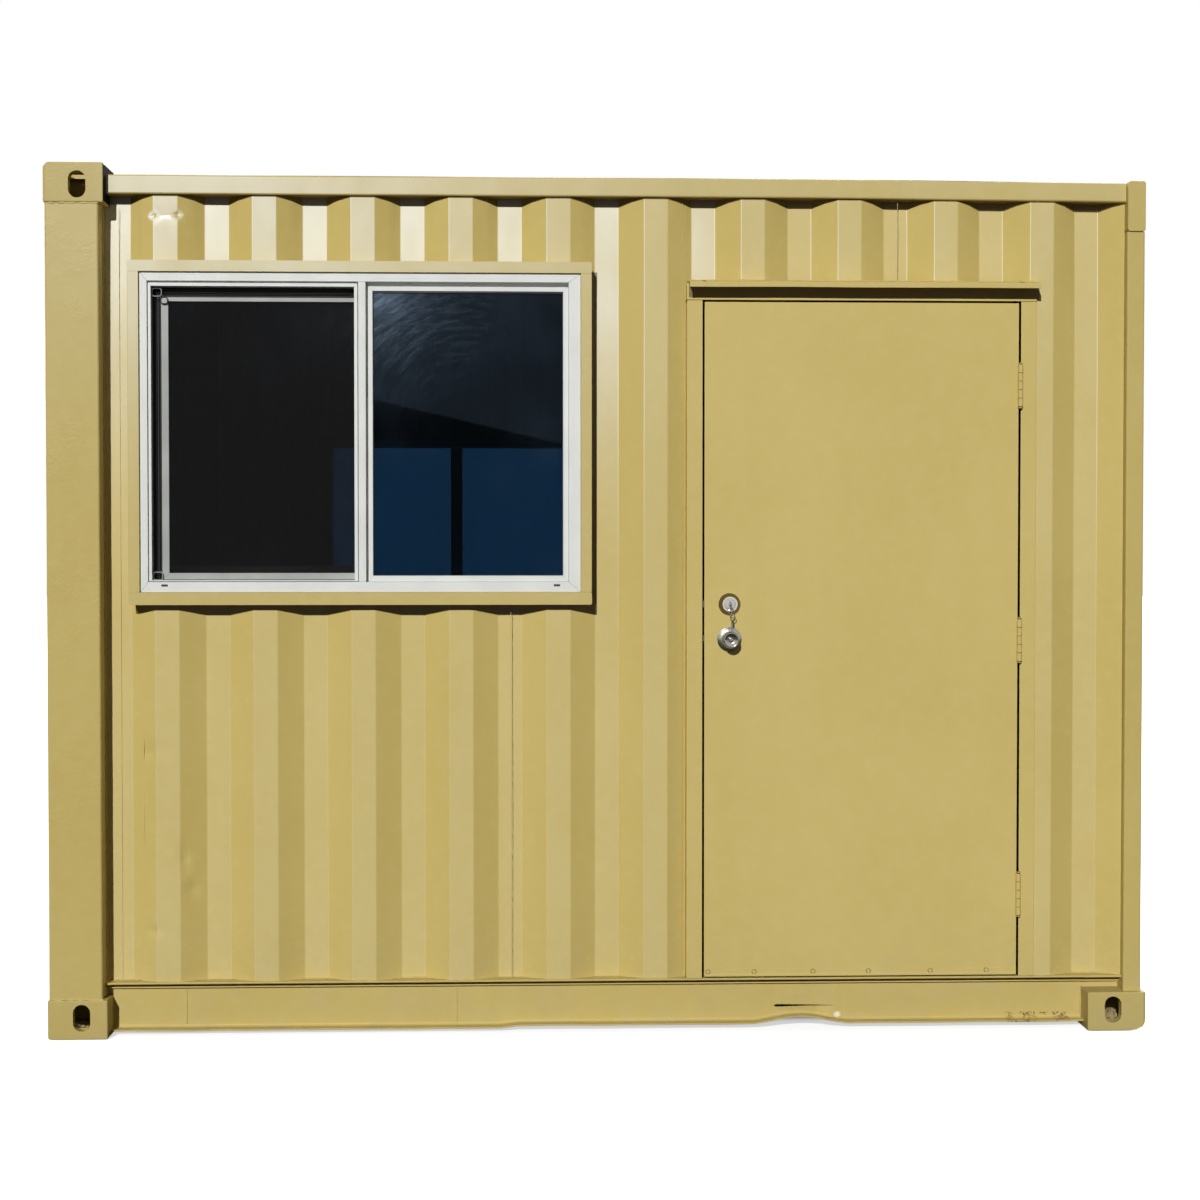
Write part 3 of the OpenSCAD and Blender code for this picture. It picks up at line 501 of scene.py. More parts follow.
# the faces across the joints beside, over and under the leaf, which get painted shade, as (axis, place)
DOOR_JOINTS = (("X", 1950.5), ("X", 2905.5), ("Z", 2197.5), ("Z", 161.0))
SHEET_PAINT = enamel("cream_enamel_sheet", lump=22, lump_height=0.2, orange=0.05, rough=0.22, tone=1.04,
                     glare_amounts=(0.95, 0.75, 0.10))
STEEL_PAINT = enamel("cream_enamel_heavy", lump=10, lump_height=0.8, orange=0.12, rough=0.36, tone=0.97,
                     glare_amounts=(0.3, 0.7, 0.05), patchy=(0.5, 0.72))
POST_PAINT = enamel("cream_enamel_posts", lump=10, lump_height=1.1, orange=0.25, rough=0.36, tone=0.95,
                    glare_amounts=(0.1, 0.27, 0.0), peel=8, patchy=(0.48, 0.66))
DOOR_PAINT = enamel("cream_enamel_door", lump=30, lump_height=0.12, orange=0.12, rough=0.36, tone=1.05,
                    glare_amounts=(0.06, 0.06, 0.02), joints=DOOR_JOINTS)
# the front rail's enamel carries a painted highlight spot on the dented foot
RAIL_PAINT = enamel("cream_enamel_rail", lump=11, lump_height=0.8, orange=0.10, rough=0.36, tone=1.0,
                    glare_amounts=(0.0, 0.0, 0.0), patchy=(0.5, 0.75), chips=(at(2880, 20, 17), at(3075, 90, 42)),
                    painted_highlight=(at(2363, 0, 40), 14, 11))
CAST_PAINT = enamel("cream_enamel_casting", lump=7, lump_height=0.7, orange=0.7, rough=0.45, tone=0.9,
                    glare_amounts=(0.15, 0.2, 0.0), peel=9)
RUBBLE = plain("paint_flakes_and_grit", (0.30, 0.23, 0.10), 0.85, grain=0.4)
KEY_PLASTIC = plain("corner_key_plastic", (0.26, 0.26, 0.25), 0.5)
CAST_INSIDE = plain("casting_inside", (0.17, 0.12, 0.035), 0.7, grain=0.5, size=5)
# near black for a casting face that lies in shade: painted shade
SIDE_SHADE_BLACK = plain("casting_side_painted_shade", (0.008, 0.008, 0.009), 0.9, grain=0.3, Specular_IOR_Level=0.05)
WHITE_PAINT = plain("white_powder_coat", (0.70, 0.71, 0.675), 0.38, grain=0.05, Specular_IOR_Level=0.35)
DARK_TRACK = plain("dark_track", (0.012, 0.012, 0.011), 0.5, grain=0.05, Specular_IOR_Level=0.2)
SILVER_BAR = plain("silver_bar", (0.34, 0.35, 0.33), 0.5, grain=0.1, vary=0.12)
RUBBER = plain("glazing_rubber", (0.012, 0.012, 0.012), 0.6, grain=0.1)
NICKEL = plain("satin_nickel", (0.34, 0.33, 0.30), 0.17, grain=0.02, metallic=1.0)
# nickel tinted brown: a painted reflection of the surroundings
NICKEL_REFLECTION_BROWN = plain("nickel_painted_reflection", (0.20, 0.155, 0.085), 0.26, grain=0.04, metallic=1.0)
KEY_BRASS = plain("key_metal", (0.26, 0.25, 0.21), 0.22, grain=0.03, metallic=1.0)
# near black for painted shade: the lock's grooves and keyway, the key's blade and the rings round the sweep's
# screws
SHADE = plain("painted_shade_dark", (0.02, 0.018, 0.015), 0.8)
BRIGHT_NICKEL = plain("rubbed_nickel", (0.66, 0.64, 0.60), 0.26, grain=0.03, metallic=1.0)


def window_glass():
    """Tinted glass under a thin film of dust that was wiped in arcs and left in the upper left corners, and a
    painted reflection on the right pane.
    """
    r = Recipe("window_glass")
    # a painted reflection on the right pane: a pale sheen above a slanting line
    slant = r.axis("Z") - at(0, 0, 1900).z + (r.axis("X") - at(965, 0, 0).x) * 0.234
    painted_sheen = slant.ramp(-4 * MM, 4 * MM) * r.axis("X").over(at(940, 0, 0).x) * 0.022
    film = 0.006 + painted_sheen + r.noise(260, 3.0).ramp(0.45, 0.85) * r.noise(30, 4.0, (0.4, 1, 1), 0.7) * 0.05
    # smears: corner x and z, reach in metres, amount
    smears = ((972, 2216, 0.13, 0.65), (975, 2212, 0.55, 0.20), (925, 2190, 0.30, 0.5),
              (352, 2200, 0.16, 0.35))
    for x, z, reach, amount in smears:
        aside, below = r.axis("X") - at(x, 0, 0).x, at(0, 0, z).z - r.axis("Z")
        # streaks left by wiping round a point below and to the right of the corner
        arm, drop = aside - 0.30, below - 0.42
        radius = (arm * arm + drop * drop) ** 0.5
        round_it = r.node("CombineXYZ", {}, {0: radius, 1: aside * 0.22, 2: z / 700})
        streaks = r.node("TexNoise", {}, {0: round_it, "Scale": 70.0, "Detail": 6.0, "Roughness": 0.75})
        streaks = streaks.ramp(0.42, 0.78)
        far = (aside * aside + below * below * 1.6) ** 0.5
        film = film + far.ramp(reach, 0.0) * (streaks * 0.75 + 0.12) * amount
    film = film.clip()
    # one shader for the dust and the painted reflection; its bluish colour is part of the painted reflection
    dust = r.node("BsdfPrincipled", {}, {"Base Color": (0.20, 0.29, 0.40), "Roughness": 0.25,
                                         "Specular IOR Level": 0.5})
    clear = r.node("BsdfTransparent", {}, {"Color": (0.24, 0.36, 0.45)})
    r.node("OutputMaterial", {}, {0: r.node("MixShader", {}, {0: film, 1: clear, 2: dust})})
    return r.material


def screen_weave():
    """Woven screen cloth: fine dark threads with open squares between them."""
    r = Recipe("screen_weave")
    threads = 1.0
    for name in "XZ":
        line = r.axis(name) / (1.6 * MM)
        threads = line.maths("FRACT", line).over(0.28) * threads
    return r.surface(Base_Color=(0.010, 0.010, 0.0105), Roughness=0.8, Alpha=1 - threads * 0.92,
                     Specular_IOR_Level=0.1)


def plywood():
    r = Recipe("floor_plywood")
    grain = r.noise(9, 5.0, (0.04, 1, 1), 0.6).ramp(0.3, 0.75)
    wear = r.noise(300, 4.0).ramp(0.4, 0.75)
    colour = r.mix(grain, (0.30, 0.185, 0.09), (0.42, 0.28, 0.15))
    return r.surface(Base_Color=r.mix(wear * 0.4, colour, (0.22, 0.17, 0.12)), Roughness=grain * 0.15 + 0.55,
                     Normal=r.bump(grain, 0.3))


GLASS, WEAVE, PLYWOOD = window_glass(), screen_weave(), plywood()
PAINTS = {"paint": STEEL_PAINT, "white_frame": WHITE_PAINT, "dark_sash": DARK_TRACK, "glass": GLASS,
          "screen_bars": SILVER_BAR, "screen_cloth": WEAVE, "plywood": PLYWOOD, "lock_metal": NICKEL}
SLOT_OF = {part["node"]: part["material_slot"] for part in frame["record"]["subparts"]}
for node, thing in frame["nodes"].items():
    for place in thing.material_slots:
        place.material = PAINTS[SLOT_OF[node]]


# ---- corrugated sheets ----

SHEET = 2.0
BEND = 12.0
TOP_OF_SHEET = span("wall_front_middle")[1].z
FRONT_Y = span("wall_under_window")[0].y
# where the ridge over the window is pinched: x and z
CREASE = (CREST, 2445)
# dents: centre x, centre z, half width, half height, depth inwards
DENTS = ((350, 2445, 50, 90, 1.2), (291, 852, 60, 42, 4.5), (395, 531, 26, 60, 6.0), (421, 440, 26, 36, 5.0),
         (305, 313, 36, 24, 4.5), (300, 640, 60, 90, 2.5), (2880, 1500, 60, 200, 1.5))


def wave_line(a, b, crest, pitch, flat, depth):
    """Corners of a trapezoid wave from a to b, outer flats on 0 and one of them centred on crest."""
    slope = pitch / 2 - flat

    def height(u):
        d = abs((u - crest + pitch / 2) % pitch - pitch / 2)
        return min(max((d - flat / 2) / slope, 0), 1) * depth
    line = [(a, height(a))]
    for k in range(math.floor((a - crest) / pitch) - 1, math.ceil((b - crest) / pitch) + 2):
        for off, y in ((-flat / 2 - slope, depth), (-flat / 2, 0), (flat / 2, 0), (flat / 2 + slope, depth)):
            u = crest + k * pitch + off
            if a + 0.5 < u < b - 0.5:
                line.append((u, y))
    return line + [(b, height(b))]


def rounded(line, step):
    """A wave line with its bends rounded and its points no more than step apart."""
    return divide(soften(line, BEND, closed=False), step)


def sheet_ring(line, step):
    """Section of a sheet with rounded bends, from its front line."""
    front = rounded(line, step)
    back = []
    for i, p in enumerate(front):
        a, b = Vector(front[max(i - 1, 0)]), Vector(front[min(i + 1, len(front) - 1)])
        way = (b - a).normalized()
        back.append((p[0] - way.y * SHEET, p[1] + way.x * SHEET) if 0 < i < len(front) - 1
                    else (p[0], p[1] + SHEET))
    return front + back[::-1]


def ripple(x, z, seed=0.0):
    """Slight unevenness of a welded sheet, in millimetres."""
    broad, fine = Vector((x / 330, seed, z / 420)), Vector((x / 120, seed + 5, z / 150))
    return 1.3 * noise.noise(broad) + 0.5 * noise.noise(fine)


def long_wall(name, node, dents=(), back=False, notch=None, window=None):
    """A corrugated sheet of a long wall; a casting takes its upper corner away from notch (x, z) up."""
    low, high = span(node)
    dense = [(z - h * 1.3, z + h * 1.3, h / 5) for _, z, _, h, _ in dents]
    dense.append((CREASE[1] - 36, CREASE[1] + 36, 3))
    form = Form()
    bays = [(low.x, high.x, low.z, high.z)]
    if window:
        x0, x1, z0, z1 = window
        bays = [(low.x, x0, low.z, high.z), (x0 + GAP, x1, low.z, z0), (x0 + GAP, x1, z1, high.z),
                (x1 + GAP, high.x, low.z, high.z)]
    if notch:
        x0, x1, z0, z1 = bays.pop(0)
        bays += [(x0, x1, z0, notch[1]), (notch[0], x1, notch[1], z1)]
    for x0, x1, z0, z1 in bays:
        ring = sheet_ring(wave_line(x0, x1, CREST, PITCH, FLAT, DEPTH), 12 if dents else 40)
        form.prism([(x, FRONT_Y + y) for x, y in ring], "Z", stations(z0, z1, 70, dense))

    def press(p):
        push = ripple(p.x, p.z, 9.0 if back else 0.0) * min(1, (p.z - low.z) / 60, (high.z - p.z) / 60)
        # the troughs lean back towards the top rail that they were drawn up to
        lean = max(0, (p.z - TOP_OF_SHEET + 560) / 560)
        push += 9.0 * lean * lean * min(max((abs(p.y - FRONT_Y) - 22) / 12, 0), 1)
        for x, z, w, h, depth in dents:
            far = math.hypot((p.x - x) / w, (p.z - z) / h)
            if far < 1.3:
                crease = 1 - abs((p.x - x) / w + 0.4 * (p.z - z) / h)
                push += depth * max(0, 1 - far / 1.3) ** 1.5 * (0.7 + 0.5 * max(crease, 0))
        if node == "wall_over_window":
            aside = abs(p.x - CREASE[0])
            pinch = math.exp(-((aside - 36) / 10) ** 2) + 0.3 * min(max((46 - aside) / 12, 0), 1)
            push += 6.5 * pinch * math.exp(-abs(p.z - CREASE[1] - 0.05 * (p.x - CREASE[0])) / 13)
        return 0, push, 0
    form.warp(press)
    if back:
        form.to_back()
    return form.make(name, SHEET_PAINT, stands_for=(node,), angle=40)


def end_wall(name, node, right):
    """A corrugated sheet across an end, its outer flats outwards."""
    low, high = span(node)
    line = wave_line(low.y, high.y, WIDTH / 2, 250, 85, 42)
    ring = sheet_ring(line, 45)
    form = Form().prism([((high.x - y) if right else (low.x + y), x) for x, y in ring], "Z",
                        stations(low.z, high.z, 90))

    def press(p):
        return ripple(p.y, p.z, 20.0 + right) * min(1, (p.z - low.z) / 60, (high.z - p.z) / 60), 0, 0
    form.warp(press)
    return form.make(name, SHEET_PAINT, stands_for=(node,), angle=40)


def walls():
    top = span("casting_top_front_left")[0].z - GAP
    edge = span("casting_top_front_left")[1].x + GAP
    long_wall("front_sheet_left", "wall_front_left", notch=(edge, top))
    long_wall("front_sheet_over_window", "wall_over_window", dents=DENTS[:1])
    long_wall("front_sheet_under_window", "wall_under_window", dents=DENTS[1:6])
    long_wall("front_sheet_middle", "wall_front_middle")
    long_wall("front_sheet_over_door", "wall_over_door")
    long_wall("front_sheet_right", "wall_front_right")
    long_wall("back_sheet", "wall_back", back=True, notch=(edge, top),
              window=(BACK_X + BAR, BACK_X + BACK_W - BAR, BACK_Z + FOOT_BAR, BACK_Z + BACK_H - BAR))
    end_wall("left_end_sheet", "wall_left_end", False)
    end_wall("right_end_sheet", "wall_right_end", True)


# ---- posts, beams and rails ----

def uneven(amount, seed=0.0, size=90.0):
    """A move that makes heavy old steel slightly uneven."""
    def move(p):
        spot = Vector((p.x, p.y, p.z)) / size + Vector((seed, seed, 0))
        return tuple(amount * noise.noise(spot + Vector((k * 13.7, 0, 0))) for k in range(3))
    return move


def sag(x):
    """The roof and its rails hang a little lower toward the right end."""
    return 6.5 * max(0, (x - 1900) / 1325) ** 2


HEADER_DROP = sag(LENGTH)


def posts():
    for name, node, radius, depth, rough, drop in (
            ("left_corner_posts", "posts_left", 7, 130, 0.7, 0),
            ("right_corner_posts", "posts_right", 6, 100, 0.3, HEADER_DROP)):
        low, high = span(node)
        high.z -= drop
        form = Form()
        for y0, y1 in ((low.y, low.y + depth), (high.y - depth, high.y)):
            form.prism(soften(rectangle(low.x, y0, high.x, y1), radius, steps=6), "Z",
                       stations(low.z, high.z, 60))
        form.warp(uneven(rough)).make(name, POST_PAINT, stands_for=(node,))


def beams():
    for name, node, radius, drop in (("left_header", "header_left", 6, 0),
                                     ("right_header", "header_right", 8, HEADER_DROP)):
        low, high = span(node)
        outline = soften(rectangle(low.x, low.z - drop, high.x, high.z - drop), radius, steps=5)
        form = Form().prism(outline, "Y", stations(low.y, high.y, 120))
        form.warp(uneven(0.3)).make(name, POST_PAINT, stands_for=(node,), bevel=1.5)
    low, high = span("top_rails")
    form = Form()
    for y0, y1 in ((low.y, low.y + 60), (high.y - 60, high.y)):
        form.prism(soften(rectangle(y0, low.z, y1, high.z), 6, steps=4), "X", stations(low.x, high.x, 60))
    form.warp(lambda p: (0, 0, 1.2 * noise.noise(Vector((p.x / 500, 3, 0))) - sag(p.x)))
    form.make("top_side_rails", STEEL_PAINT, stands_for=("top_rails",))


# ---- corner castings ----

def slot_outline(u, v, across, tall):
    return soften(rectangle(u - across / 2, v - tall / 2, u + across / 2, v + tall / 2),
                  min(across, tall) / 2 - 0.05, steps=10)


def casting(name, node, right=False, back=False, top=False, worn=None, shade_painted_side=False):
    """A hollow corner casting with its three apertures, its outer corner at the origin until it is turned."""
    rings = []
    for z, inset in ((0, 5), (1.5, 1.6), (5, 0), (60, 0), (113, 0), (116.4, 1.6), (118, 5)):
        outline = soften(rectangle(inset, inset, CAST_X - inset, CAST_Y - inset), [12, 4, 4, 4], steps=5)
        rings.append([(x, y, z) for x, y in outline])
    form = Form().loft(rings)
    form.cut(Form().prism(slot_outline(101.5, 65, 51, 79.5), "Y", (-5, 32)))
    form.cut(Form().prism(slot_outline(89.5, 65, 63.5, 79.5), "X", (-5, 32)))
    form.cut(Form().prism(slot_outline(101.5, 89.5, 124, 63.5), "Z", (-5, 32)))
    if worn:
        form.cut(Form().prism(worn, "Y", (-9, 60, 171)))
    form.cut(Form().block((28, 28, 28), (164, 148, 104), radius=6))
    for face in form.bm.faces:
        middle = face.calc_center_median()
        if all(27 < v < w for v, w in zip(middle, (165, 149, 105))):
            face.material_index = 1
        # the inner side face of the casting is painted near black as painted shade
        elif shade_painted_side and middle.x > CAST_X - 0.5:
            face.material_index = 2

    def turned(p):
        return Vector((LENGTH - p.x if right else p.x, WIDTH - p.y if back else p.y,
                       HEIGHT - p.z if top else p.z)) - p
    form.warp(turned)
    return form.make(name, [CAST_PAINT, CAST_INSIDE, SIDE_SHADE_BLACK], stands_for=(node,), bevel=1.8, angle=34,
                     turns=3)


def castings():
    casting("front_left_foot_casting", "casting_bottom_front_left")
    casting("back_left_foot_casting", "casting_bottom_back_left", back=True)
    casting("front_right_foot_casting", "casting_bottom_front_right", right=True,
            worn=[(-9, -9), (52, -9), (52, 0), (30, 5), (11, 13), (3, 24), (0, 38), (-9, 38)])
    casting("back_right_foot_casting", "casting_bottom_back_right", right=True, back=True)
    casting("front_left_head_casting", "casting_top_front_left", top=True, shade_painted_side=True,
            worn=[(-9, -9), (19, -9), (19, 0), (14, 2.5), (3, 13), (0, 18), (-9, 18)])
    casting("back_left_head_casting", "casting_top_back_left", back=True, top=True)
    lumps = Form()
    for k in range(26):
        size = random.uniform(5, 13)
        spot = Vector((LENGTH - 101.5 + random.uniform(-22, 12), random.uniform(34, 60),
                       29 + random.uniform(0, 14) + (k % 4) * 3))
        shell = bmesh.ops.create_icosphere(lumps.bm, subdivisions=1, radius=size)["verts"]
        for v in shell:
            v.co = spot + v.co * (1 + 0.5 * noise.noise(v.co / 6 + spot))
    for k in range(3):
        spot = Vector((112 - k * 14, 36 + k * 7, 31))
        for v in bmesh.ops.create_icosphere(lumps.bm, subdivisions=1, radius=7 + k)["verts"]:
            v.co = spot + Vector((v.co.x, v.co.y, v.co.z * 0.6)) * (1 + 0.4 * noise.noise(v.co / 5 + spot))
    lumps.make("rubble_in_castings", RUBBLE, angle=20)


# ---- bottom rails and sills ----

# the rail's head with the groove under its front edge, as (y, z)
RAIL_HEAD = [(87, 154.5), (140, 154.5), (140, RAIL_TOP), (42, RAIL_TOP), (42, 154.5), (82, 154.5), (82, 143),
             (70, 143), (70, 138), (82, 138)]


def rail_outline(lift, tip):
    """Section of the folded bottom rail; lift raises its foot and tip lets the foot's edge hang lower."""
    low = 17.5 + lift
    points = [(46, low - tip), (87, low), *RAIL_HEAD, (82, low + 5), (46, low + 5 - tip)]
    return soften(points, [1.2, 7, 0, 0, 1, 1.5, 1.5, 1.5, 1.5, 1.2, 1.2, 2, 9, 1.2], steps=4)


def bump_curve(x, centre, half):
    """1 at the centre, falling smoothly to 0 at half on either side."""
    far = min(abs(x - centre) / half, 1)
    return (1 - far * far) ** 2


def bottom_rail(name, node, damaged):
    low, high = span(node)
    left, right = CAST_X + GAP, LENGTH - CAST_X - GAP
    form = Form()
    rings = []
    for x in stations(left, right, 45, [(1290, 1440, 10), (2080, 2420, 9)] if damaged else []):
        lift = tip = 0.0
        if damaged:
            lift = 7.0 * min(max((x - 1338) / 52, 0), 1) - 7.0
            lift = min(lift, 0) + 21 * bump_curve(x, 2250, 158)
            tip = 2.0 * noise.noise(Vector((x / 160, 1, 0)))
        rings.append([(x, y, z) for y, z in rail_outline(lift * 0.9 + 1.5, tip)])
    form.loft(rings)

    def press(p):
        push = Vector((0, 0.8 * noise.noise(Vector((p.x / 300, p.z / 90, 4))), 0))
        if damaged and p.z < 120:
            push.y += 9 * bump_curve(p.x, 2252, 130) * bump_curve(p.z, 20, 60)
            push.y -= 9 * bump_curve(p.x, 2338, 40) * bump_curve(p.z, 46, 30)
        return push
    if damaged:
        # a tear in the web, as (x, half its height)
        form.cut(Form().loft([[(x, 60, 67.5 - h), (x, 100, 67.5 - h), (x, 100, 67.5 + h), (x, 60, 67.5 + h)]
                              for x, h in ((2171, 1.2), (2177, 4.2), (2215, 3.4), (2290, 1.7), (2354, 0.4))]))
    form.warp(press)
    over_casting = [(87, CAST_Z + GAP), *RAIL_HEAD, (82, CAST_Z + GAP)]
    for x0, x1 in ((163.3, CAST_X), (LENGTH - CAST_X, LENGTH - 65.3)):
        form.prism(over_casting, "X", (x0, x1))
    for x0, thick in ((394, 3.0), (1206, 1.2)):
        form.prism([(82.2, 26), (82.2, 136), (80, 134), (79.4, 80), (80, 28)], "X",
                   (x0, x0 + 2, x0 + 2 + thick))
    if node == "bottom_rail_back":
        form.to_back()
    return form.make(name, RAIL_PAINT if damaged else STEEL_PAINT, stands_for=(node,), angle=38)


# ---- weld beads ----

def bead(form, path, size, seed=0.0, step=7.0, squash=0.8):
    """A hand-laid weld along a path: lumpy, and smeared over with paint."""
    points = [Vector(path[0])]
    for a, b in zip(path, path[1:]):
        a, b = Vector(a), Vector(b)
        parts = max(1, round((b - a).length / step))
        points += [a.lerp(b, k / parts) for k in range(1, parts + 1)]
    thick = [size * (0.72 + 0.55 * noise.noise(Vector((run / 21, seed, 0))) + 0.22 * math.sin(run / 5 + seed))
             for run in (i * step for i in range(len(points)))]
    points = [p + Vector([0.35 * size * noise.noise(p / 14 + Vector((k * 9, seed, 0))) for k in range(3)])
              for p in points]
    form.pipe(points, lambda i: max(thick[i], 0.3), sides=6, squash=squash)


def welds():
    form = Form()
    foot = rounded(wave_line(164, LENGTH - 66, CREST, PITCH, FLAT, DEPTH), 14)
    door_from, door_to = span("jamb_left")[0].x, span("jamb_right")[1].x
    left_part = [(x, FRONT_Y + y, RAIL_TOP + 1) for x, y in foot if x < door_from]
    right_part = [(x, FRONT_Y + y, RAIL_TOP + 1) for x, y in foot if x > door_to]
    for k, part in enumerate((left_part, right_part)):
        bead(form, part, 2.6, k * 3.0)
    top = span("wall_front_middle")[1].z
    head = [(x, FRONT_Y + y, top - 0.5) for x, y in foot if x > 182]
    bead(form, head, 2.2, 8.0)
    bead(form, [(8, 4.5, 119), (60, 3.5, 119.5), (120, 3.5, 119), (164, 5, 119)], 3.8, 2.0, 6)
    bead(form, [(8, 4.5, HEIGHT - 119), (60, 3.5, HEIGHT - 119), (162, 5, HEIGHT - 119)], 2.8, 4.0, 6)
    bead(form, [(LENGTH - 64, 22, 119), (LENGTH - 12, 22, 119)], 2.6, 5.0, 6)
    bead(form, [(164.5, 60, 162), (164.5, 60, 1200), (164.5, 60, HEIGHT - 122)], 2.2, 6.0, 9)
    bead(form, [(LENGTH - 66, 72, 162), (LENGTH - 66, 72, 1200), (LENGTH - 66, 72, 2400)], 2.2, 7.0, 9)
    bead(form, [(LENGTH - CAST_X, 80, 20), (LENGTH - CAST_X - 0.5, 80, 116)], 3.2, 9.0, 7)
    bead(form, [(CAST_X + 0.5, 80, 20), (CAST_X + 0.5, 80, 116)], 3.2, 10.0, 7)
    form.make("weld_beads", STEEL_PAINT, angle=60)
    seams = Form()
    for x, back, z0, z1 in ((1373, 15.6, 163, 1287), (2537, 13.0, 2264, top), (207, 35, 163, 2470),
                            (1889, 21, 163, top)):
        y = FRONT_Y + back
        bead(seams, [(x, y, z0), (x + 0.6, y, (z0 + z1) / 2), (x, y, z1)], 1.3, x, 11)
    seams.make("sheet_seams", SHEET_PAINT, angle=60)


# ---- window ----

FRAME_X, FRAME_Y, FRAME_Z = SURROUND_X + BAR + GAP, 19.7, SURROUND_Z + FOOT_BAR + GAP
FRAME_W = SURROUND_W - 2 * (BAR + GAP)
FRAME_H = SURROUND_H - BAR - FOOT_BAR - 2 * GAP
HEAD = 27.0


def mitred(form, box, profile, faces, joint=0.25):
    """Four mitred bars round box (x0, z0, x1, z1).

    The profile gives (part of the face width, y) pairs; faces are the widths left, right, low and top.
    """
    x0, z0, x1, z1 = box
    left, right, low, top = faces

    def corner(which, part):
        x = x0 + left * part if which[0] == "l" else x1 - right * part
        z = z0 + low * part if which[1] == "b" else z1 - top * part
        return x, z
    for a, b in (("lb", "rb"), ("rb", "rt"), ("rt", "lt"), ("lt", "lb")):
        rings = []
        for which, toward in ((a, b), (b, a)):
            ring = []
            for part, y in profile:
                x, z = corner(which, part)
                u, w = corner(toward, part)
                way = Vector((u - x, w - z)).normalized() * joint
                ring.append((x + way.x, y, z + way.y))
            rings.append(ring)
        form.loft(rings)
    return form


def bar_profile(depth0, depth1, edge=1.2):
    """Section of a bar from its front face to its back, with broken front edges."""
    part = edge / 25
    return [(0, depth0 + edge), (part, depth0), (1 - part, depth0), (1, depth0 + edge), (1, depth1),
            (0, depth1)]


def in_frame(form):
    """Moves a piece drawn from the corner of the front window's frame to its place."""
    return form.warp(lambda p: (FRAME_X, FRAME_Y, FRAME_Z))


def surround(x, z, w, h):
    """Square-tube surround welded round a window."""
    form = Form()
    y0, y1 = FRONT_Y - GAP - SURROUND_DEPTH, FRONT_Y - GAP
    for low, high in ((z, z + FOOT_BAR), (z + h - BAR, z + h)):
        form.prism(soften(rectangle(x, low, x + w, high), 5, steps=4), "Y", (y0, y1))
    for a in (x + GAP, x + w - BAR):
        form.block((a, y0, z + FOOT_BAR + GAP), (a + BAR - GAP, y1, z + h - BAR - GAP), radius=1.6, axis="Z")
    return form


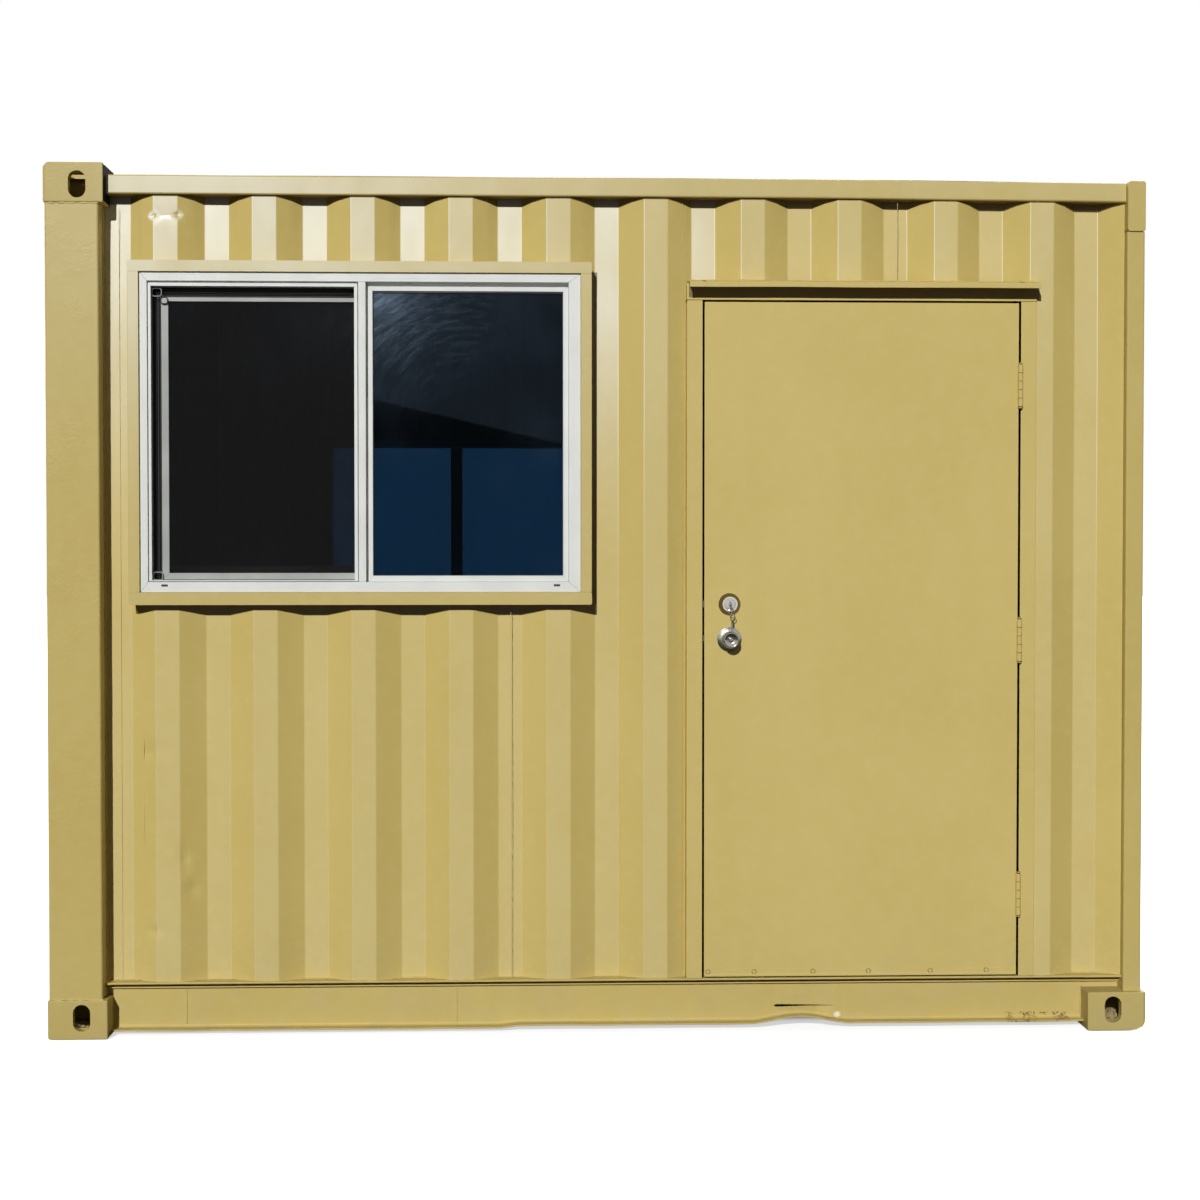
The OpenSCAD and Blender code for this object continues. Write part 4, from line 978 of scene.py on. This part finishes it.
def window():
    form = surround(SURROUND_X, SURROUND_Z, SURROUND_W, SURROUND_H)
    face = FRONT_Y - SURROUND_DEPTH
    for x in (SURROUND_X, SURROUND_X + SURROUND_W - BAR):
        for z in (SURROUND_Z + FOOT_BAR + 0.2, SURROUND_Z + SURROUND_H - BAR - 0.2):
            bead(form, [(x + 2, face, z), (x + 31, face, z)], 1.1, x + z, 6)
    form.join(surround(BACK_X, BACK_Z, BACK_W, BACK_H).to_back())
    form.make("window_surrounds", STEEL_PAINT, stands_for=("window_surround",), bevel=1.6, angle=38)

    frame_box = (0, 0, FRAME_W, FRAME_H)
    form = Form()
    mitred(form, frame_box, bar_profile(0, 86), (23, 36, 31, HEAD), 0.5)
    # a step set back a little round the left bay, and a deeper one round the right bay
    mitred(form, (25, 33, 642, FRAME_H - HEAD - 4.5), bar_profile(4.5, 86, 0.8), (8.5, 10, 3, 10))
    mitred(form, (22.9, 30.9, 644.6, FRAME_H - HEAD + 0.1), bar_profile(15, 86, 0.8), (3, 3, 3, 6))
    form.block((644.5, 0, 31.3), (666.5, 26, FRAME_H - HEAD - 0.3), radius=1.2)
    form.block((646, 26.3, 31.3), (650, 86, FRAME_H - HEAD - 0.3), radius=0.5)
    mitred(form, (666.5, 30.9, FRAME_W - 35.9, FRAME_H - HEAD + 0.1), bar_profile(26, 86, 0.8), (4, 2, 5, 11))
    in_frame(form)
    wide, tall = BACK_W - 2 * (BAR + GAP), BACK_H - BAR - FOOT_BAR - 2 * GAP
    rear = mitred(Form(), (0, 0, wide, tall), bar_profile(0, 86), (28, 28, 28, 28))
    rear.block(((wide - 48) / 2, 0, 27.5), ((wide + 48) / 2, 26, tall - 27.5), radius=1.2)
    rear.warp(lambda p: (BACK_X + BAR + GAP, FRAME_Y, BACK_Z + FOOT_BAR + GAP))
    form.join(rear.to_back())
    form.make("window_frames", WHITE_PAINT, stands_for=("window_frame",), slot="white_frame", angle=30)

    lines = Form()
    for z, y in ((8.5, -0.35), (15.0, -0.35), (FRAME_H - 9.0, -0.35), (FRAME_H - 16.5, -0.35)):
        lines.block((6, y, z), (FRAME_W - 6, 1, z + 1.2), radius=0.4, axis="X")
    for x in (8.0, 15.5, FRAME_W - 12, FRAME_W - 23):
        lines.block((x, -0.35, 12), (x + 1.2, 1, FRAME_H - 12), radius=0.4)
    for x in (648.5, 657.5, 662.0):
        lines.block((x, -0.35, 33), (x + 1.0, 1, FRAME_H - HEAD - 2), radius=0.4)
    in_frame(lines).make("frame_ribs", WHITE_PAINT, slot="white_frame")

    sash = mitred(Form(), (672.5, 31.3, FRAME_W - 36.3, FRAME_H - 39), bar_profile(8.7, 25.7, 1.0),
                  (14, 16, 18, 14))
    in_frame(sash).make("fixed_sash_bars", WHITE_PAINT, stands_for=("fixed_sash",), slot="white_frame",
                        angle=30)
    rubber = mitred(Form(), (686.3, 49.1, FRAME_W - 52.1, FRAME_H - 52.8), bar_profile(11.5, 22, 0.6),
                    (2.2, 2.2, 1.5, 5.0))
    mitred(rubber, (33, 36, 644.5, FRAME_H - 39), bar_profile(26.2, 27.6, 0.4), (3, 1, 2, 2))
    in_frame(rubber).make("glazing_rubbers", RUBBER, slot="dark_sash")

    track = Form()
    track.block((33.3, 44, FRAME_H - 62), (644, 46, FRAME_H - 39.5), radius=0.5, axis="X")
    for z in (FRAME_H - 58, FRAME_H - 51, FRAME_H - 44):
        track.block((33.3, 38, z), (644, 45, z + 1.4), radius=0.4, axis="X")
    for x in (36, 43, 50):
        track.block((x, 38, 36.5), (x + 1.4, 45, FRAME_H - 40), radius=0.4)
    track.block((33.3, 44, 36.5), (58, 46, FRAME_H - 40), radius=0.5)
    in_frame(track).make("screen_tracks", DARK_TRACK, slot="dark_sash")

    slider = mitred(Form(), (33.3, 36.3, 686.5, FRAME_H - 39.3), bar_profile(49.2, 61, 1.0), (42, 42, 42, 42))
    in_frame(slider).make("sliding_sash_bars", DARK_TRACK, stands_for=("sliding_sash",), slot="dark_sash",
                          angle=30)

    screen = mitred(Form(), (60, 36.3, 660.5, FRAME_H - 72), bar_profile(28, 36, 0.8), (21, 21, 21, 12))
    in_frame(screen).make("screen_bars", SILVER_BAR, stands_for=("insect_screen",), slot="screen_bars",
                          angle=30)
    keys = Form()
    for x, z, wide, tall in ((48.8, FRAME_H - 58.6, 27, 23), (48.8, 48.5, 27, 23),
                             (70.3, FRAME_H - 82.5, 19, 19)):
        ring = [(x + u, 20.5, z + w) for u, w in
                soften(rectangle(-wide / 2, -tall / 2, wide / 2, tall / 2), 6.5, steps=4)]
        keys.pipe(ring, 1.6, sides=6, wrap=True, finish=wide < 20)
        if wide < 20:
            keys.prism([(a, b) for a, _, b in ring], "Y", (21.5, 24.5), finish=2)
    # the weep slots, as dark rubber blocks that stand in for the shade inside them: painted shade
    for x in (61, FRAME_W - 81):
        keys.block((x, -0.4, 16.8), (x + 20, 3, 24.2), radius=1.8, axis="Y", finish=1)
    in_frame(keys).make("corner_keys", [KEY_PLASTIC, RUBBER, SILVER_BAR], slot="dark_sash")


# ---- door ----

KNOB = (span("knobs")[0].x + 25, span("knobs")[0].z + 25)
LOCK = (KNOB[0], KNOB[1] + 106)
LEAF_Y, LEAF_BACK = (corner.y for corner in span("door_leaf"))


def door():
    leaf_low, leaf_high = span("door_leaf")
    form = Form().block(leaf_low, leaf_high, radius=2.0, axis="Z")
    x, z = KNOB
    form.cut(Form().prism(slot_outline(x, z, 26, 26), "Y", (leaf_low.y - 5, leaf_high.y + 5)))

    def press(p):
        edge = min((p.x - leaf_low.x) / 60, (leaf_high.x - p.x) / 60, 1)
        return 0, 0.6 * noise.noise(Vector((p.x / 420, 2, p.z / 600))) * max(edge, 0), 0
    form.warp(press).make("door_skin", DOOR_PAINT, body="door", stands_for=("door_leaf",), angle=34)
    low, high = span("door_sweep")
    sweep = Form()
    outline = [(low.y + 2, high.z), (high.y, high.z), (high.y, low.z), (low.y, low.z), (low.y, low.z + 5),
               (low.y + 2, low.z + 8)]
    sweep.prism(soften(outline, 0.7, steps=2), "X", (low.x + 2, high.x - 2))
    # screws at uneven shares of the strip's length
    for share in (0.013, 0.160, 0.348, 0.525, 0.723, 0.903):
        x = low.x + share * (high.x - low.x)
        middle = (x, low.y + 2, (low.z + high.z) / 2 + 4)
        # a dark disc under each screw head, which shows as a ring of painted shade round it
        sweep.lathe([(7.4, 0.2), (7.4, -0.2), (0.1, -0.2)], middle, sides=16, finish=1)
        head = [(6.2, -0.1), (5.8, -1.9), (4.4, -2.7), (3.0, -2.2), (2.6, -0.6), (0.1, -0.5)]
        sweep.lathe(head, middle, sides=16)
    sweep.make("door_sweep_strip", [DOOR_PAINT, SHADE], body="door", stands_for=("door_sweep",), angle=30)


def door_frame():
    left, right = span("jamb_left"), span("jamb_right")
    for name, node, low, high, stop in (
            ("left_jamb", "jamb_left", *left, (left[1].x - 12.2, left[1].x)),
            ("right_jamb", "jamb_right", *right, (right[0].x, right[0].x + 12.2))):
        form = Form()
        face = (low.x, stop[0]) if node == "jamb_left" else (stop[1], high.x)
        form.block((face[0], low.y, low.z), (face[1], high.y, high.z), radius=2.0)
        form.block((stop[0], 92.5, low.z), (stop[1], 114.5, high.z), radius=1.0)
        form.make(name, DOOR_PAINT, stands_for=(node,), angle=36)
    low, high = span("door_head")
    form = Form().block((low.x, low.y, low.z + 12), high, radius=2.0, axis="X")
    form.block((left[1].x + 0.4, 92.5, low.z), (right[0].x - 0.4, 114.5, low.z + 12.2), radius=1.0, axis="X")
    form.make("door_header", DOOR_PAINT, stands_for=("door_head",), angle=36)
    # a black rubber seal behind the joints round the leaf, placed also to darken the gaps as painted shade
    seal_and_shade = Form()
    leaf_low, leaf_high = span("door_leaf")
    foot, head = leaf_low.z - 8, leaf_high.z + 4
    for x0, x1 in ((left[1].x + 0.3, left[1].x + 11), (right[0].x - 11, right[0].x - 0.3)):
        seal_and_shade.block((x0, 88.2, foot), (x1, 92.2, head), radius=1.5)
    seal_and_shade.block((left[1].x + 11.3, 88.2, leaf_high.z - 6), (right[0].x - 11.3, 92.2, head), radius=1.5,
               axis="X")
    seal_and_shade.make("door_seal_and_gap_shade", RUBBER, angle=36)
    low, high = span("drip_cap")
    lip = low.y
    outline = [(high.y, high.z), (lip, high.z - 12), (lip, low.z), (lip + 3, low.z), (lip + 3, high.z - 15),
               (high.y - 3, high.z - 3), (high.y - 3, high.z - 11.7), (high.y, high.z - 11.7)]
    form = Form().prism(soften(outline, 1.3, steps=3), "X", stations(low.x + 6, high.x, 80))
    form.warp(lambda p: (0, 0, 1.0 * noise.noise(Vector((p.x / 260, 7, 0)))))
    wave = rounded(wave_line(low.x + 4, high.x - 2, CREST, PITCH, FLAT, DEPTH), 12)
    bead(form, [(x, FRONT_Y + y - 0.6, high.z + 1.2) for x, y in wave], 3.0, 12.0)
    bead(form, [(low.x + 8, high.y - 1, high.z), (high.x - 2, high.y - 1, high.z)], 2.4, 13.0)
    form.make("drip_cap_with_caulk", DOOR_PAINT, stands_for=("drip_cap",), angle=36)


def hinges():
    x = span("hinge_frame_side")[0].x + 8
    y = span("hinge_frame_side")[0].y + 8
    fixed, moving = Form(), Form()
    for centre in (251, 1020, 1786):
        bottom = RAIL_TOP + centre - 63.5
        for k in range(5):
            z0, z1 = bottom + k * 25.4 + 0.25, bottom + (k + 1) * 25.4 - 0.25
            form = moving if k % 2 else fixed
            knuckle = [(0.1, z0), (7.0, z0), (7.8, z0 + 0.8), (7.8, z1 - 0.8), (7.0, z1), (0.1, z1)]
            form.lathe(knuckle, (x, y, 0), "Z", 28)
        for z, way in ((bottom + 127, 1), (bottom, -1)):
            tip = [(3.0, 0), (3.4, 0.6)] + [(6.2 * math.sin(t), 6.0 - 6.0 * math.cos(t)) for t in
                                            (math.pi * (0.22 + 0.78 * i / 9) for i in range(10))]
            fixed.lathe([(r, z + way * h * 0.55) for r, h in tip], (x, y, 0), "Z", 24)
        for form, px in ((fixed, 0.5), (moving, -2.5)):
            form.block((x + px, y + 4, bottom + 0.5), (x + px + 2, y + 38, bottom + 126.5), radius=0.4)
    fixed.make("hinge_halves_on_frame", DOOR_PAINT, stands_for=("hinge_frame_side",), angle=40)
    moving.make("hinge_halves_on_leaf", DOOR_PAINT, body="door", stands_for=("hinge_door_side",), angle=40)


def bow(form, x, y, z, across, turn=0.0):
    """A flat key head with a hole, standing in the plane across X."""
    head = Form()
    outline = [(across * math.cos(t) * (1.0 + 0.12 * math.cos(3 * t)), across * math.sin(t) * 0.95)
               for t in (2 * math.pi * k / 28 for k in range(28))]
    head.prism(outline, "X", (-1.1, -0.8, 0.8, 1.1))
    head.cut(Form().lathe([(2.2, -3), (2.2, 3)], (0, -across * 0.55, 0), "X", 16))
    spin = Matrix.Rotation(turn, 3, "X")
    for v in head.bm.verts:
        v.co = spin @ v.co + Vector((x, y, z))
    form.join(head)


def lock():
    x, z = LOCK
    turned = Form()
    collar = [(0.1, 0), (33, 0), (33, 2.5), (32.4, 4.2), (25.2, 18.6), (24.2, 20.4), (23.6, 20.8), (0.1, 20.8)]
    # the collar in the brown-tinted nickel: a painted reflection of its surroundings
    turned.lathe([(r, -a) for r, a in collar], (x, LEAF_Y, z), finish=1)
    # rings of the face with the grooves between them, the grooves in painted shade: inner and outer radius, how
    # far each stands out, finish
    rings = ((16.9, 22.8, 21.6, 0), (16.1, 16.9, 20.9, 2), (13.0, 16.1, 21.5, 0), (12.2, 13.0, 20.9, 2),
             (6.8, 12.2, 21.9, 0), (6.2, 6.8, 21.0, 2), (0.1, 6.2, 21.7, 0))
    for inner, outer, front, dark in rings:
        ring = [(outer, -20.7), (outer, 0.4 - front), (outer - 0.3, -front), (inner, -front), (inner, -20.7)]
        turned.lathe(ring, (x, LEAF_Y, z), finish=dark)
    # the keyway, as a dark inlay of painted shade in the plug's face
    turned.block((x - 1.4, LEAF_Y - 22.1, z - 4.5), (x + 1.4, LEAF_Y - 20.5, z + 4.5), radius=0.5, axis="Y",
                 finish=2)
    inside = [(0.1, 0), (33, 0), (33, 2), (29, 8), (9, 8.4), (0.1, 8.4)]
    turned.lathe([(r, a) for r, a in inside], (x, LEAF_BACK, z))
    turned.block((x - 4, LEAF_BACK + 7, z - 17), (x + 4, LEAF_BACK + 26, z + 17), radius=2.5, axis="Y")
    turned.make("dead_lock_body", [BRIGHT_NICKEL, NICKEL_REFLECTION_BROWN, SHADE], body="door", stands_for=("dead_lock",),
                slot="lock_metal", angle=30)
    keys = Form()
    # the key's blade in the lock, in painted shade
    keys.block((x - 1.4, LEAF_Y - 33, z - 4.5), (x + 1.4, LEAF_Y - 20, z + 4.5), radius=0.4, axis="Y",
               finish=1)
    bow(keys, x, LEAF_Y - 38, z - 1, 12, 0.5)
    ring_y, ring_z = LEAF_Y - 40, z - 22
    keys.pipe([(x + 1.5 * math.sin(t * 0.5) + 9 * math.sin(t) * 0.85, ring_y + 3.5 * math.sin(t),
                ring_z + 12 * math.cos(t)) for t in (2 * math.pi * k / 32 for k in range(32))],
              1.2, sides=8, wrap=True)
    keys.pipe([(x + 6 + 6 * math.sin(t), ring_y - 1 + 2 * math.sin(t), ring_z - 11 + 7 * math.cos(t))
               for t in (2 * math.pi * k / 28 for k in range(28))], 1.1, sides=8, wrap=True)
    bow(keys, x + 4, ring_y + 2, ring_z - 25, 10, -1.4)
    keys.block((x + 1.4, ring_y - 1.2, ring_z - 62), (x + 6.6, ring_y + 1.2, ring_z - 30), radius=0.5)
    keys.make("keys_on_ring", [KEY_BRASS, SHADE], body="door", slot="lock_metal", angle=30)
    bolts = Form()
    for height, tall in ((z, 11), (KNOB[1] + 2, 9)):
        bolts.block((x - 79.4, LEAF_Y + 14, height - tall), (x - 74, LEAF_Y + 30, height + tall), radius=1.5,
                    axis="X")
    bolts.make("lock_bolts", NICKEL, body="door", slot="lock_metal")


def knob():
    x, z = KNOB
    roses = Form()
    rose = [(8.2, 0), (37, 0), (37, 1.6), (36.2, 2.8), (33.0, 4.0), (28.5, 6.6), (22, 7.2), (8.2, 7.2)]
    for side, face in ((-1, LEAF_Y), (1, LEAF_BACK)):
        roses.lathe([(r, side * a) for r, a in rose], (x, face, z), sides=56)
    roses.make("knob_roses", NICKEL, body="door", stands_for=("lock_roses",), slot="lock_metal", angle=30)
    grips = Form()
    # outline from the shank to the dished face with its button: radius, distance from the leaf
    turning = [(0.1, 0.4), (8, 0.4), (8, 12), (10.6, 13.5), (11.4, 22), (13, 27), (18.6, 31.5), (22.6, 36),
               (24.6, 41.5), (25, 46), (24.6, 50.5), (23.4, 54.6), (21.6, 57.4), (20.0, 58.4), (18.6, 58.0),
               (15.4, 55.4), (11.0, 53.4), (7.4, 53.0), (6.6, 54.2), (6.2, 58.2), (5.4, 59.2), (0.1, 59.4)]
    for side, face in ((-1, LEAF_Y), (1, LEAF_BACK)):
        grips.lathe([(r, side * a) for r, a in turning], (x, face, z), sides=56)
    grips.lathe([(8, LEAF_Y - 0.5), (8, LEAF_BACK + 0.5)], (x, 0, z), sides=32)
    grips.make("door_knobs", NICKEL, body="knob", stands_for=("knobs",), slot="lock_metal", angle=30)


# ---- roof, sills and floor ----

# ribs of the roof sheet: pitch, height, half widths at foot and crest, and how far from the long sides they end
RIB_PITCH, RIB_HEIGHT, RIB_FOOT, RIB_CREST, RIB_END = 209, 18, 59, 45, 160
ROOF_SHEET = 2.0


def roof():
    """The roof sheet with its ribs across, and its corners taken away for the castings."""
    low, high = span("roof")
    skin = high.z - RIB_HEIGHT
    count = math.floor((high.x - CAST_X) / RIB_PITCH)
    first = (CAST_X + high.x - (count - 1) * RIB_PITCH) / 2
    half, slope = RIB_PITCH / 2, RIB_FOOT - RIB_CREST

    def height(x, y):
        if not first - half < x < first + count * RIB_PITCH - half:
            return 0.0
        along = abs((x - first + half) % RIB_PITCH - half)
        edge = min(y, WIDTH - y) - RIB_END
        return RIB_HEIGHT * min(max((RIB_FOOT - along) / slope, 0), 1) * min(max(edge / slope, 0), 1)

    def point(x, y, lift):
        wave = 0.8 * noise.noise(Vector((x / 400, y / 300, 6)))
        return x, y, skin + lift - sag(x) + height(x, y) + wave
    bends = [0, -half]
    for off in (RIB_CREST, RIB_CREST + slope / 2, RIB_FOOT):
        bends += [-off, off]
    marks = {round(first + k * RIB_PITCH + off, 2) for k in range(count) for off in bends}
    xs = [v for v in sorted(marks | {low.x, high.x, float(CAST_X)}) if low.x <= v <= high.x]
    near = [100, RIB_END, RIB_END + slope / 2, RIB_END + slope, 400, 800]
    ys = [low.y, *near, WIDTH / 2, *(WIDTH - y for y in reversed(near)), high.y]
    form = Form()
    for lift, flip in ((0.0, False), (-ROOF_SHEET, True)):
        grid = [[form.bm.verts.new(point(x, y, lift)) for y in ys] for x in xs]
        for row, after in zip(grid, grid[1:]):
            for a, b, c, d in zip(row, after, after[1:], row[1:]):
                x, y = (a.co.x + b.co.x) / 2, (a.co.y + d.co.y) / 2
                over_casting = x < CAST_X + 0.4 and not CAST_Y + 0.4 < y < WIDTH - CAST_Y - 0.4
                if not over_casting:
                    form.bm.faces.new((d, c, b, a) if flip else (a, b, c, d))
    form.make("ribbed_roof_sheet", SHEET_PAINT, stands_for=("roof",), angle=50)


def sills():
    for name, node in (("left_end_sill", "sill_left"), ("right_end_sill", "sill_right")):
        low, high = span(node)
        middle = CAST_Y + GAP
        form = Form().block((low.x, middle, low.z), (high.x, WIDTH - middle, high.z), radius=4, axis="Y")
        for y0, y1 in ((low.y, CAST_Y), (WIDTH - CAST_Y, high.y)):
            form.block((low.x, y0, CAST_Z + GAP), (high.x, y1, high.z), radius=3, axis="Y")
        form.make(name, STEEL_PAINT, stands_for=(node,), angle=40)


walls()
posts()
beams()
castings()
bottom_rail("front_bottom_rail", "bottom_rail_front", True)
bottom_rail("back_bottom_rail", "bottom_rail_back", False)
welds()
window()
door_frame()
door()
hinges()
lock()
knob()
roof()
sills()


# ---- stage, light and camera ----

def stage():
    sheet = Form()
    sheet.bm.faces.new([sheet.bm.verts.new(p) for p in ((-60e3, -60e3, 0), (60e3, -60e3, 0), (60e3, 60e3, 0),
                                                       (-60e3, 60e3, 0))])
    sheet.bm.transform(Matrix.Scale(MM, 4))
    floor = sheet.object("floor")
    r = Recipe("pale_floor")
    open_floor = 1.0
    for name, low, high in (("X", 100, LENGTH - 100), ("Y", 150, WIDTH - 150)):
        low, high = (at(v, v, 0)["XY".index(name)] for v in (low, high))
        place = r.axis(name)
        under = place.ramp(low, low + 0.12) * place.ramp(high, high - 0.12)
        open_floor = under if name == "X" else 1 - under * open_floor
    seen = r.node("LightPath", {}, {}, "Is Camera Ray") * open_floor
    floor.data.materials.append(r.surface(
        Base_Color=r.mix(seen, (0.04, 0.04, 0.039), (0.80, 0.80, 0.79)), Roughness=0.9,
        Emission_Color=r.mix(seen, (0, 0, 0), (0.62, 0.62, 0.62)), Emission_Strength=1.0))
    floor.location.z = -0.0005

    world = bpy.data.worlds.new("studio")
    world.use_nodes = True
    bpy.context.scene.world = world
    r = Recipe("studio", world.node_tree)
    seen = None
    for ray in ("Is Camera Ray", "Is Glossy Ray", "Is Transmission Ray"):
        kind = r.node("LightPath", {}, {}, ray)
        seen = kind if seen is None else seen + kind
    light = r.node("Background", {}, {"Color": (1, 1, 1), "Strength": seen.clip() * (1 - FILL) + FILL})
    r.node("OutputWorld", {}, {0: light})


FILL = 0.02
# name, direction the light comes from, strength, angular size in degrees
LAMPS = (("key", (-0.23, -1.0, 0.45), 3.15, 1.0), ("top", (0.1, 0.3, 1.0), 1.0, 25.0),
         ("right_side", (1.0, 0.7, 0.45), 1.2, 20.0), ("back", (0.25, 1.0, 0.5), 1.9, 20.0),
         ("left_side", (-1.0, 0.6, 0.45), 1.7, 20.0))
CAMERA_PLACE = (1418.1, -5967.1, 1440.6)
CAMERA_TURN = 0.0369
CAMERA_TILT = -0.023
CAMERA_LENS = 60.2


def lights_and_camera():
    for name, source, strength, size in LAMPS:
        lamp = bpy.data.lights.new(name, "SUN")
        lamp.energy, lamp.angle = strength, math.radians(size)
        thing = bpy.data.objects.new(name, lamp)
        thing.rotation_euler = Vector(source).to_track_quat("Z", "Y").to_euler()
        bpy.context.scene.collection.objects.link(thing)
    camera = bpy.data.cameras.new("camera")
    camera.lens = CAMERA_LENS
    thing = bpy.data.objects.new("camera", camera)
    thing.location = at(*CAMERA_PLACE)
    thing.rotation_euler = (math.pi / 2 + CAMERA_TILT, 0, -CAMERA_TURN)
    bpy.context.scene.collection.objects.link(thing)
    bpy.context.scene.camera = thing
    bpy.context.scene.view_settings.view_transform = "Standard"


stage()
lights_and_camera()
